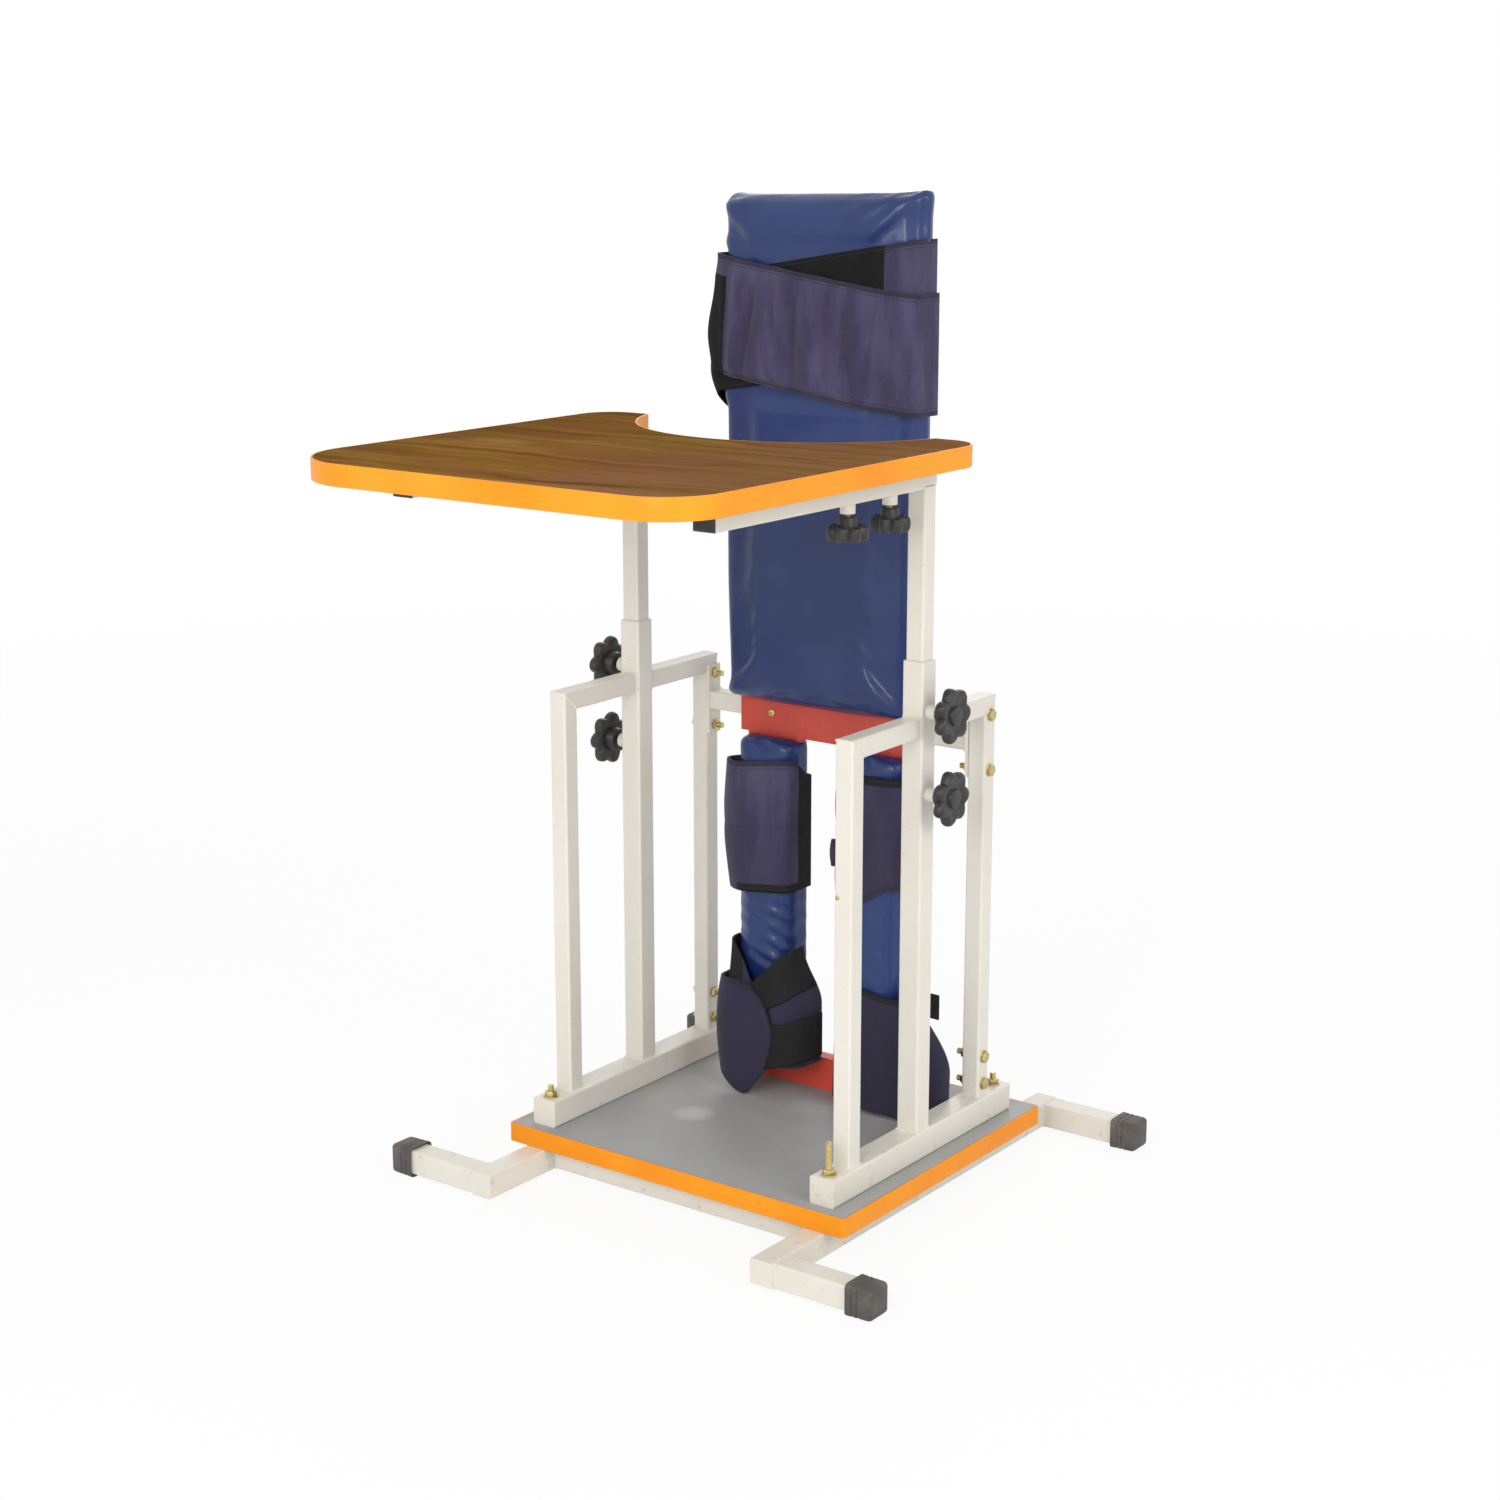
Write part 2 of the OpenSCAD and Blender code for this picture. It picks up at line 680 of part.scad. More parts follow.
module rear_upright(side) {
  color(steel_paint) at_side(side) difference() {
    upright(upright_back, -1);
    for (z = bolt_zs) translate([0, upright_back, z]) rod_x(bolt_hole_r, -upright_tube, upright_tube);
  }
}

// Length of top rail from a mitred corner to the sleeve
module top_rail_length(y, inward) {
  corner = y - upright_half*inward;
  stop = post_y - sleeve_tube/2*inward;
  difference() {
    translate([0, 0, frame_top - upright_half])
      tube_y(upright_tube, upright_wall, min(corner, stop), max(corner, stop));
    mitre_cut(y, inward, -1);
  }
}

module top_rail(side) {
  color(steel_paint) at_side(side) {
    top_rail_length(-upright_front, 1);
    top_rail_length(upright_back, -1);
  }
}

module post_sleeve(side) {
  color(steel_paint) at_side(side) translate([0, post_y, 0]) difference() {
    tube_z(sleeve_tube, sleeve_wall, rail_top, sleeve_top);
    for (z = knob_zs) translate([0, 0, z]) outward(side) rod_x(stud_hole_r, 0, sleeve_tube);
  }
}

module weld_nut() {
  difference() {
    rod_z(weld_nut_d/2, 0, weld_nut_len);
    rod_z(stud_d/2 + stud_fit, -overrun, weld_nut_len + overrun);
  }
}

module sleeve_weld_nuts() {
  color(steel_paint) for (s = sides) for (z = knob_zs) translate([0, post_y, z]) outward(s)
    translate([side_x + sleeve_tube/2, 0, 0]) rotate([0, 90, 0]) weld_nut();
}

module base_bolts() {
  color(zinc_gold) for (s = sides) for (y = base_bolt_ys) translate([s*side_x, y, 0]) {
    rod_z(base_head_d/2, base_z - base_head_h, base_z);
    rod_z(bolt_d/2, base_z - base_head_h/2,
      rail_top + washer_t + nut_h + (s > 0 && y < 0 ? long_thread_out : thread_out));
  }
}

module base_nuts() {
  color(zinc_gold) at_base_bolts() {
    difference() {
      union() {
        rod_z(washer_d/2, rail_top, rail_top + washer_t);
        translate([0, 0, rail_top + washer_t/2]) cylinder(d = hex_w, h = nut_h + washer_t/2, $fn = 6);
      }
      rod_z(bolt_hole_r, rail_top - overrun, rail_top + washer_t + nut_h + overrun);
    }
  }
}

module upper_cross_tube() {
  color(steel_paint) translate([0, upright_back, upper_cross_z]) difference() {
    tube_x(cross_tube, cross_wall, -plate_x, plate_x);
    for (s = sides) translate([s*hip_screw_reach, 0, 0]) rod_y(screw_hole_r, -cross_tube, 0);
  }
}

module foot_brackets() {
  color(steel_paint) difference() {
    for (s = sides) translate([s*leg_x - bracket_w/2, board_back_y, board_top]) {
      cube([bracket_w, bracket_t, bracket_h]);
      cube([bracket_w, bracket_d, bracket_t]);
    }
    at_bracket_screws() rod_z(screw_hole_r, board_top - overrun, board_top + bracket_t + overrun);
    for (s = sides) translate([s*leg_x, 0, bracket_screw_z])
      rod_y(screw_hole_r, board_back_y - overrun, board_back_y + bracket_t + overrun);
  }
}

module end_plate(z, reach) {
  high = reach + plate_margin;
  difference() {
    translate([plate_x, upright_back - upright_half, z - high]) cube([plate_t, upright_tube, high*2]);
    for (k = sides) translate([plate_x, upright_back, z + k*reach])
      rod_x(bolt_hole_r, -overrun, plate_t + overrun);
  }
}

module cross_end_plates() {
  color(steel_paint) for (m = [0, 1]) mirror([m, 0, 0]) {
    end_plate(upper_cross_z, upper_bolt_reach);
  }
}

module cross_bolts() {
  out = side_x + upright_half;
  color(zinc_gold) for (m = [0, 1]) mirror([m, 0, 0]) for (i = [0 : len(bolt_zs) - 1])
    translate([0, upright_back, bolt_zs[i]]) {
    rod_x(bolt_d/2, nut_xs[i] - nut_h - thread_out, out + head_h/2);
    translate([out, 0, 0]) rotate([0, 90, 0]) cylinder(d = hex_w, h = head_h, $fn = 6);
  }
}

module cross_nuts() {
  color(zinc_gold) for (m = [0, 1]) mirror([m, 0, 0]) for (i = [0 : len(bolt_zs) - 1])
    translate([nut_xs[i], upright_back, bolt_zs[i]]) difference() {
      translate([-nut_h, 0, 0]) rotate([0, 90, 0]) cylinder(d = hex_w, h = nut_h, $fn = 6);
      rod_x(bolt_hole_r, -nut_h - overrun, overrun);
    }
}

// Outline of the back board, grown by a gap where a pad's pocket is cut with it
module back_outline(gap, from, to) {
  top = trunk_board_top + gap;
  trunk = trunk_board_half + gap;
  hip = hip_board_half + gap;
  out = leg_out + gap;
  in = leg_in - gap;
  difference() {
    front_slab([[-trunk, top], [-hip, trunk_bottom], [-hip, hip_bottom], [-out, hip_bottom], [-out, board_top],
      [out, board_top], [out, hip_bottom], [hip, hip_bottom], [hip, trunk_bottom], [trunk, top]], from, to);
    front_slab([[-in, foot_top], [in, foot_top], [in, hip_bottom], [-in, hip_bottom]],
      from - overrun, to + overrun);
  }
}

module back_board() {
  color(plywood_red) difference() {
    back_outline(0, board_front_y, board_back_y);
    for (s = sides) {
      translate([s*hip_screw_reach, 0, upper_cross_z])
        rod_y(screw_hole_r, board_front_y - overrun, upright_back);
      translate([s*leg_x, 0, bracket_screw_z])
        rod_y(screw_hole_r, board_back_y - back_board_t*board_bite_share - bolt_clear, upright_back);
    }
  }
}

module back_board_screws() {
  rear = board_back_y + bracket_t;
  over = board_top + bracket_t;
  color(zinc_gold) at_bracket_screws() {
    rod_z(screw_head_d/2, over, over + screw_head_h);
    rod_z(screw_d/2, board_top - board_t*board_bite_share, over + screw_head_h/2);
  }
  color(zinc_gold) for (s = sides) {
    translate([s*hip_screw_reach, 0, upper_cross_z]) {
      rod_y(screw_head_d/2, board_front_y - screw_head_h, board_front_y);
      rod_y(screw_d/2, board_front_y - screw_head_h/2, board_back_y + cross_wall*2);
    }
    translate([s*leg_x, 0, bracket_screw_z]) {
      rod_y(screw_head_d/2, rear, rear + screw_head_h);
      rod_y(screw_d/2, board_back_y - back_board_t*board_bite_share, rear + screw_head_h/2);
    }
  }
}

module trunk_pad() {
  low = trunk_bottom + pad_gap;
  zs = ring_heights(low, trunk_top, 9);
  color(vinyl_blue) difference() {
    loft([for (z = zs) let (e = end_inset(z, low, trunk_top))
      [for (s = trunk_shares) [(trunk_half(z) - e)*s[0], pad_back_y - (trunk_depth(z) - e)*s[1], z]]]);
    back_outline(pad_gap, board_front_y - pad_gap, board_back_y + overrun);
  }
}

module leg_pad(side) {
  low = foot_top + pad_gap;
  high = hip_bottom - pad_gap;
  zs = ring_heights(low, high, 7);
  color(vinyl_blue) difference() {
    loft([for (z = zs) let (e = end_inset(z, low, high))
      [for (s = leg_shares) [side*leg_x + (leg_half(z) - e)*s[0], pad_back_y - (leg_depth(z) - e)*s[1], z]]]);
    back_outline(pad_gap, board_front_y - pad_gap, board_back_y + overrun);
  }
}

// Point of a chest band: s runs round the pad, v up the band, gap off the pad
function chest_point(s, v, mid_z, drop, gap, loop) =
  let (z = mid_z - drop*s[0]/2 + chest_band_w*(v - 0.5),
    fold = fold_depth*side_share(s[0], 2)*(0.5 + 0.5*sin(900*s[0] + 1050*trunk_t(z))),
    half = trunk_half(z) + gap + loop*loop_rise(s))
  [half*s[0], pad_back_y - (trunk_depth(z) + gap + fold)*s[1], z];

module chest_band(mid_z, drop, gap, loop) {
  cloth([for (s = trunk_shares) concat(
    [for (v = [0 : 4]) chest_point(s, v/4, mid_z, drop, gap, loop)],
    [for (v = [4 : -1 : 0]) chest_point(s, v/4, mid_z, drop, gap + chest_band_t, loop)])]);
}

module chest_band_inner() {
  color(cloth_purple) chest_band(chest_inner_z, -chest_inner_rise, sheet_gap, chest_loop*inner_loop_share);
}

module chest_band_outer() {
  color(cloth_purple) chest_band(chest_outer_z, chest_outer_drop, sheet_gap*2 + chest_band_t, chest_loop);
}

// Point of a knee cuff on the left leg, slack on its outer side
function cuff_point(s, v, gap) =
  let (z = cuff_bottom + cuff_h*v,
    slack = cuff_slack*loop_rise(s)*(0.7 + 0.3*sin(180*v)),
    half = leg_half(z) + gap + slack)
  [-leg_x + half*s[0], pad_back_y - (leg_depth(z) + gap)*s[1], z];

module knee_cuff(side) {
  color(cloth_purple) mirror([side < 0 ? 0 : 1, 0, 0]) cloth([for (s = leg_shares) concat(
    [for (v = [0 : 5]) cuff_point(s, v/5, sheet_gap)],
    [for (v = [5 : -1 : 0]) cuff_point(s, v/5, sheet_gap + cuff_t)])]);
}

// How far an ankle wrap stands open at a height: 1 at the foot, 0 where it is tight on the leg. The right side of
// the left one stays open higher up.
function wrap_open(side, s, z) =
  let (t = (z - board_top)/(wrap_top - board_top),
    low = 1 - ease((t - 0.35)/0.6),
    high = 1 - ease((t - 0.65)/0.35))
  side < 0 ? low + (high - low)*ease(s[0]*1.5) : low;

// Point of an ankle wrap, tight on the leg at its top. At the foot the left one is wide and leans to the right,
// and the right one keeps to the leg's left side and opens to its right.
function wrap_point(side, s, v, gap) =
  let (rise = side < 0 ? wrap_flap_rise*ease((s[0] + 0.2)/0.9) : wrap_clear,
    low = board_top + wrap_clear + rise,
    z = low + (wrap_top - low)*v,
    open = wrap_open(side, s, z),
    swell = side < 0 ? open : open*ease((s[0] + 0.9)/1.3),
    fold = wrap_fold_depth*swell*(0.5 + 0.5*sin(640*s[0] + 200*v)),
    tight_half = leg_half(z) + gap,
    tight_depth = leg_depth(z) + gap - pad_back_y + wrap_back_y,
    reach = side < 0 ? wrap_half : s[0] < 0 ? tight_half + wrap_t : right_reach,
    half = tight_half + max(0, reach - wrap_t + gap - sheet_gap - tight_half)*open,
    depth = tight_depth + max(0, (side < 0 ? wrap_d : wrap_right_d) - wrap_t + gap - tight_depth - fold)*swell)
  [side*leg_x + (side < 0 ? wrap_lean*open : 0) + half*s[0], wrap_back_y - depth*s[1], z];

module ankle_wrap(side) {
  color(cloth_purple) cloth([for (s = leg_shares) concat(
    [for (v = [0 : 8]) wrap_point(side, s, v/8, sheet_gap)],
    [for (v = [8 : -1 : 0]) wrap_point(side, s, v/8, sheet_gap + wrap_t)])]);
}

module inner_post(side) {
  color(steel_paint) at_side(side) translate([0, post_y, 0])
    tube_z(post_tube, post_wall, sleeve_top - post_inside, bar_under);
}

module tray_bar(side) {
  color(steel_paint) at_side(side) translate([0, 0, tray_rail_mid])
    tube_y(post_tube, post_wall, -tray_bar_front, bar_back);
}

module tray_rail(side) {
  color(steel_paint) at_side(side) difference() {
    translate([0, 0, tray_rail_mid]) tube_y(sleeve_tube, sleeve_wall, -tray_rail_front, tray_rail_back);
    for (y = [tray_knob_front, tray_knob_back]) translate([0, -y, 0])
      rod_z(stud_hole_r, tray_rail_under - overrun, tray_rail_mid);
  }
}

module rail_plugs() {
  body = sleeve_tube - (sleeve_wall + plug_fit)*2;
  color(knob_black) for (s = sides) translate([s*side_x, -tray_rail_front, tray_rail_mid]) {
    translate([-sleeve_tube/2, -plug_flange, -sleeve_tube/2]) cube([sleeve_tube, plug_flange, sleeve_tube]);
    translate([-body/2, -plug_flange/2, -body/2]) cube([body, plug_depth + plug_flange/2, body]);
  }
}

module rail_weld_nuts() {
  color(steel_paint) for (s = sides) for (y = [tray_knob_front, tray_knob_back])
    translate([s*side_x, -y, tray_rail_under - weld_nut_len]) weld_nut();
}

module tray_tabs() {
  color(steel_paint) for (s = sides) for (y = tab_ys) translate([s*tab_x, y, 0]) difference() {
    translate([-tab_side/2, -tab_side/2, tray_under - tab_t]) cube([tab_side, tab_side, tab_t]);
    rod_z(screw_hole_r, tray_under - tab_t - overrun, tray_under + overrun);
  }
}

module tray_screws() {
  low = tray_under - tab_t;
  color(zinc_gold) for (s = sides) for (y = tab_ys) translate([s*tab_x, y, 0]) {
    rod_z(screw_head_d/2, low - screw_head_h, low);
    rod_z(screw_d/2, low - screw_head_h/2, tray_under + tray_core_t*bite_share);
  }
}

module tray_board() {
  color(core_tan) difference() {
    translate([0, 0, tray_under]) linear_extrude(tray_core_t) tray_outline(tray_edging_t);
    for (s = sides) for (y = tab_ys) translate([s*tab_x, y, 0])
      rod_z(screw_hole_r, tray_under - overrun, tray_under + tray_core_t*bite_share + bolt_clear);
  }
}

module tray_laminate() {
  color(wood_brown) translate([0, 0, tray_top - tray_laminate_t])
    linear_extrude(tray_laminate_t) tray_outline(tray_edging_t);
}

module tray_edging() {
  color(edging_yellow) translate([0, 0, tray_under]) linear_extrude(tray_t) difference() {
    tray_outline(0);
    tray_outline(tray_edging_t);
  }
}

// Lobed knob on a stud; the stud's tip is at z = 0 and the knob is above it
module knob(d, t) {
  lobe = d*lobe_share;
  star = knob_stud_len + knob_hub_len;
  color(knob_black) union() {
    rod_z(stud_d/2, 0, knob_stud_len + knob_hub_len/2);
    rod_z(knob_hub_d/2, knob_stud_len, star + t/2);
    translate([0, 0, star]) linear_extrude(t) union() {
      circle(d*knob_core_share);
      for (i = [0 : knob_lobes - 1]) rotate(360*i/knob_lobes) translate([d/2 - lobe, 0]) circle(lobe);
    }
  }
}

module height_knob(side, z) {
  translate([0, post_y, z]) outward(side)
    translate([side_x + post_tube/2 + clamp_gap, 0, 0]) rotate([0, 90, 0]) knob(height_knob_d, height_knob_t);
}

module tray_knob(side, y) {
  translate([side*side_x, -y, bar_under - clamp_gap]) rotate([180, 0, 0]) knob(tray_knob_d, tray_knob_t);
}

module seat() {
  translate([0, plan_shift, 0]) children();
}

seat() base_runner(-1);  // base_runner_left
seat() base_runner(1);  // base_runner_right
seat() foot_stubs();
seat() base_cross_tubes();
seat() foot_caps();
seat() base_board();
seat() base_laminate();
seat() base_edging();
seat() bottom_rail(-1);  // bottom_rail_left
seat() bottom_rail(1);  // bottom_rail_right
seat() tube_end_plates();
seat() front_upright(-1);  // front_upright_left
seat() front_upright(1);  // front_upright_right
seat() rear_upright(-1);  // rear_upright_left
seat() rear_upright(1);  // rear_upright_right
seat() top_rail(-1);  // top_rail_left
seat() top_rail(1);  // top_rail_right
seat() post_sleeve(-1);  // post_sleeve_left
seat() post_sleeve(1);  // post_sleeve_right
seat() sleeve_weld_nuts();
seat() base_bolts();
seat() base_nuts();
seat() upper_cross_tube();
seat() foot_brackets();
seat() cross_end_plates();
seat() cross_bolts();
seat() cross_nuts();
seat() back_board();
seat() back_board_screws();
seat() trunk_pad();
seat() leg_pad(-1);  // leg_pad_left
seat() leg_pad(1);  // leg_pad_right
seat() chest_band_inner();
seat() chest_band_outer();
seat() knee_cuff(-1);  // knee_cuff_left
seat() knee_cuff(1);  // knee_cuff_right
seat() ankle_wrap(-1);  // ankle_wrap_left
seat() ankle_wrap(1);  // ankle_wrap_right
seat() inner_post(-1);  // inner_post_left
seat() inner_post(1);  // inner_post_right
seat() tray_bar(-1);  // tray_bar_left
seat() tray_bar(1);  // tray_bar_right
seat() tray_rail(-1);  // tray_rail_left
seat() tray_rail(1);  // tray_rail_right
seat() rail_plugs();
seat() rail_weld_nuts();
seat() tray_tabs();
seat() tray_screws();
seat() tray_board();
seat() tray_laminate();
seat() tray_edging();
seat() height_knob(-1, knob_upper_z);  // height_knob_left_upper
seat() height_knob(-1, knob_lower_z);  // height_knob_left_lower
seat() height_knob(1, knob_upper_z);  // height_knob_right_upper
seat() height_knob(1, knob_lower_z);  // height_knob_right_lower
seat() tray_knob(-1, tray_knob_front);  // tray_knob_left_front
seat() tray_knob(-1, tray_knob_back);  // tray_knob_left_back
seat() tray_knob(1, tray_knob_front);  // tray_knob_right_front
seat() tray_knob(1, tray_knob_back);  // tray_knob_right_back
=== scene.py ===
import bisect
import math

import bmesh
import bpy
from mathutils import Matrix, Vector, noise


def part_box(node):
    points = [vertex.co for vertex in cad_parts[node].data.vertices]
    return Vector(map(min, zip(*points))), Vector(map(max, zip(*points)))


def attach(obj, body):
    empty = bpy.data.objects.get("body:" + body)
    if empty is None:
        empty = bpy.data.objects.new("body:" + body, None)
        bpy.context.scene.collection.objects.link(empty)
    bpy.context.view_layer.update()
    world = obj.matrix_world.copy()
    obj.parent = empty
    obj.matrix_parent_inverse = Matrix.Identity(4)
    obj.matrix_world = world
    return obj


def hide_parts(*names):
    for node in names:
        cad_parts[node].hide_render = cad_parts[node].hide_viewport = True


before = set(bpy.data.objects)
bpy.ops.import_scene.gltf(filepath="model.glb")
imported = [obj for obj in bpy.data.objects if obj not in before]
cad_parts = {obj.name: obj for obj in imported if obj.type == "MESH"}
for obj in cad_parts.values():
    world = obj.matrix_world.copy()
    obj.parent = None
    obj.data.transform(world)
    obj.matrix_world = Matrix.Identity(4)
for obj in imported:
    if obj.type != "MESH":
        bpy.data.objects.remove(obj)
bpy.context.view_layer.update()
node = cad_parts
scene = bpy.context.scene
scene.view_settings.view_transform = "Standard"


# The view: a pale seamless studio, with the frame seen from its front right
# corner, the lens a little above the tray and tilted down at the footboard.
def along(place, direction, axis="Z"):
    """The matrix that stands a thing at a place, its axis along a direction."""
    turn = Vector(direction).to_track_quat(axis, "Y")
    return Matrix.Translation(place) @ turn.to_matrix().to_4x4()


camera = bpy.data.objects.new("camera", bpy.data.cameras.new("camera"))
camera.data.lens = 63.39
camera.data.sensor_width = 36.0
camera.data.shift_x = -0.0019
camera.data.shift_y = -0.0135
lens_place, lens_aim = (1.9111, -2.5345, 1.3513), (-0.5757, 0.7849, -0.2290)
camera.matrix_world = along(lens_place, lens_aim, "-Z")
scene.collection.objects.link(camera)
scene.camera = camera


def hang_lamp(name, place, aim, size, watts):
    """A soft box over the studio floor."""
    lamp = bpy.data.objects.new(name, bpy.data.lights.new(name, "AREA"))
    lamp.data.shape = "RECTANGLE"
    lamp.data.size, lamp.data.size_y = size
    lamp.data.energy = watts
    lamp.matrix_world = along(place, Vector(aim) - Vector(place), "-Z")
    scene.collection.objects.link(lamp)


hang_lamp("key_lamp", place=(0.2, -3.0, 1.9), aim=(0, 0, 0.6), size=(1.5, 1.5), watts=27)
hang_lamp("strip_lamp", place=(1.1, -2.9, 1.5), aim=(0, 0.2, 0.9), size=(0.28, 1.5), watts=19)
hang_lamp("side_lamp", place=(3.1, -0.6, 1.9), aim=(0, 0, 0.6), size=(1.4, 1.4), watts=30)
hang_lamp("back_lamp", place=(-1.2, 2.8, 2.4), aim=(0, 0, 0.7), size=(1.4, 1.4), watts=24)


class Wire:
    """A socket of a node tree. Sums of wires and numbers add Math nodes."""

    def __init__(self, socket):
        self.socket = socket

    def node(self, kind, settings, inputs, output=0):
        tree = self.socket.id_data
        made = tree.nodes.new("ShaderNode" + kind)
        for name, value in settings.items():
            if name == "stops":
                ramp = made.color_ramp
                while len(ramp.elements) < len(value):
                    ramp.elements.new(0.5)
                for element, (place, colour) in zip(ramp.elements, value):
                    element.position, element.color = place, (*colour, 1)
            else:
                setattr(made, name, value)
        for name, value in inputs.items():
            if isinstance(value, Wire):
                tree.links.new(value.socket, made.inputs[name])
            else:
                made.inputs[name].default_value = value
        return Wire(made.outputs[output])

    def maths(self, operation, first, second=0.0):
        return self.node("Math", {"operation": operation}, {0: first, 1: second})

    def __add__(self, other):
        return self.maths("ADD", self, other)

    __radd__ = __add__

    def __sub__(self, other):
        return self.maths("SUBTRACT", self, other)

    def __rsub__(self, other):
        return self.maths("SUBTRACT", other, self)

    def __mul__(self, other):
        return self.maths("MULTIPLY", self, other)

    __rmul__ = __mul__

    def rise(self, low, high):
        """0 below low, 1 above high."""
        return self.node("MapRange", {}, {"Value": self, "From Min": low, "From Max": high})

    def fall(self, low, high):
        """1 below low, 0 above high."""
        return 1 - self.rise(low, high)

    def between(self, first, second):
        """A colour from first, where the wire is 0, to second, where it is 1."""
        ends = [c if isinstance(c, Wire) else (*c, 1) for c in (first, second)]
        return self.node("Mix", {"data_type": "RGBA"}, {0: self, 6: ends[0], 7: ends[1]}, 2)

    def under(self, *layers):
        """The colour with others laid over it, each by its own mask."""
        colour = self
        for mask, over in layers:
            colour = mask.between(colour, over)
        return colour

    def axis(self, index):
        return self.node("SeparateXYZ", {}, {0: self}, index)

    def spot(self, middle, scale, ragged, low, high):
        """1 in an oval round a middle in plan, with a soft ragged rim."""
        x, y = ((self.axis(index) - middle[index]) * scale[index] for index in (0, 1))
        return (x * x + y * y + ragged).fall(low, high)

    def stretched(self, *scale):
        return self.node("Mapping", {}, {"Vector": self, "Scale": scale})

    def cloud(self, scale, detail=2.0, roughness=0.5):
        inputs = {"Vector": self, "Scale": scale, "Detail": detail, "Roughness": roughness}
        return self.node("TexNoise", {}, inputs)

    def waves(self, direction, scale, distortion):
        """Straight ribs across one axis."""
        inputs = {"Vector": self, "Scale": scale, "Distortion": distortion, "Detail": 1.0}
        return self.node("TexWave", {"bands_direction": direction}, inputs, 1)

    def bump(self, depth, strength=1.0):
        return self.node("Bump", {}, {"Height": self, "Distance": depth, "Strength": strength})

    def into(self, socket):
        self.socket.id_data.links.new(self.socket, socket)


def seen_directly(tree):
    """Above 0 for the rays that show a thing to the lens, also mirrored or through glass."""
    ray = tree.nodes.new("ShaderNodeLightPath").outputs
    kinds = ("Is Camera Ray", "Is Glossy Ray", "Is Transmission Ray")
    camera_ray, glossy_ray, clear_ray = (Wire(ray[kind]) for kind in kinds)
    return camera_ray + glossy_ray + clear_ray


white, room_light = (1.0, 1.0, 1.0, 1.0), 0.60
world = bpy.data.worlds.new("studio")
world.use_nodes = True
scene.world = world
sky = world.node_tree.nodes["Background"].inputs
sky["Color"].default_value = white
seen = seen_directly(world.node_tree)
seen.node("MapRange", {}, {"Value": seen, "To Min": room_light}).into(sky["Strength"])

floor_reach, floor_steps = 9.0, 96
paper_white, paper_glow = (0.93, 0.93, 0.93, 1), 0.9
fade_start, fade_end = 1.6, 4.5
floor_mesh = bmesh.new()
bmesh.ops.create_circle(floor_mesh, cap_ends=True, segments=floor_steps, radius=floor_reach)
floor_data = bpy.data.meshes.new("studio_floor")
floor_mesh.to_mesh(floor_data)
floor_mesh.free()
floor = bpy.data.objects.new("studio_floor", floor_data)
scene.collection.objects.link(floor)
floor_paper = bpy.data.materials.new("floor_paper")
floor_paper.use_nodes = True
tree = floor_paper.node_tree
paper = tree.nodes["Principled BSDF"]
paper.inputs["Base Color"].default_value = paper_white
paper.inputs["Roughness"].default_value = 0.9
paper.inputs["Specular IOR Level"].default_value = 0.0
at = Wire(tree.nodes.new("ShaderNodeTexCoord").outputs["Object"])
reach = at.node("VectorMath", {"operation": "LENGTH"}, {0: at}, 1)
glow = at.node("Emission", {}, {"Color": white, "Strength": 1.0})
share = seen_directly(tree).rise(0, 1) * paper_glow
lit = at.node("MixShader", {}, {0: share, 1: Wire(paper.outputs[0]), 2: glow})
clear = at.node("BsdfTransparent", {}, {})
faded = at.node("MixShader", {}, {0: reach.rise(fade_start, fade_end), 1: lit, 2: clear})
faded.into(tree.nodes["Material Output"].inputs["Surface"])
floor_data.materials.append(floor_paper)


# Welded steel base: two runners, four stubs and two cross tubes of 32 mm square
# tube, stoved with a warm cream paint that is scuffed low down near the floor.
def new_finish(name, uv=False, **settings):
    """A material, the sockets of its shader, and the wire of its coordinates."""
    material = bpy.data.materials.new(name)
    material.use_nodes = True
    nodes = material.node_tree.nodes
    shader = nodes["Principled BSDF"].inputs
    for setting, value in settings.items():
        shader[setting.replace("_", " ")].default_value = value
    return material, shader, Wire(nodes.new("ShaderNodeTexCoord").outputs["UV" if uv else "Object"])


def coat(material, *names):
    """Gives CAD nodes a finish."""
    for name in names:
        node[name].material_slots[0].material = material


def make_piece(name, bm, material, body, nodes=(), sharp=35):
    """Closes a bmesh into a piece of the object."""
    bmesh.ops.remove_doubles(bm, verts=bm.verts, dist=1e-6)
    bmesh.ops.recalc_face_normals(bm, faces=bm.faces)
    mesh = bpy.data.meshes.new(name)
    bm.to_mesh(mesh)
    bm.free()
    mesh.shade_smooth()
    mesh.set_sharp_from_angle(angle=math.radians(sharp))
    mesh.materials.append(material)
    piece = bpy.data.objects.new(name, mesh)
    scene.collection.objects.link(piece)
    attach(piece, body)
    if nodes:
        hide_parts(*nodes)


cream_light, cream_dark = (0.805, 0.772, 0.692), (0.75, 0.712, 0.622)
scuff_brown, chip_brown = (0.36, 0.32, 0.27), (0.45, 0.40, 0.33)
scuffs_from, scuffs_to = 0.01, 0.16
cream_paint, shader, at = new_finish("cream_paint", Roughness=0.36)
clouds = at.cloud(6.0, 3.0)
low = at.axis(2).fall(scuffs_from, scuffs_to)
scuffs = at.cloud(60.0, 6.0, 0.65).rise(0.6, 0.68)
chips = at.cloud(150.0, 3.0).rise(0.71, 0.75)
paint = clouds.rise(0.3, 0.7).between(cream_light, cream_dark)
paint = paint.under((low * scuffs * 0.45 + scuffs * 0.05, scuff_brown), (chips * 0.35, chip_brown))
paint.into(shader["Base Color"])
(0.30 + clouds * 0.14 + scuffs * 0.12).into(shader["Roughness"])
(at.cloud(520.0) + at.cloud(35.0) * 0.5 - chips * 0.6).bump(0.0005, 0.35).into(shader["Normal"])
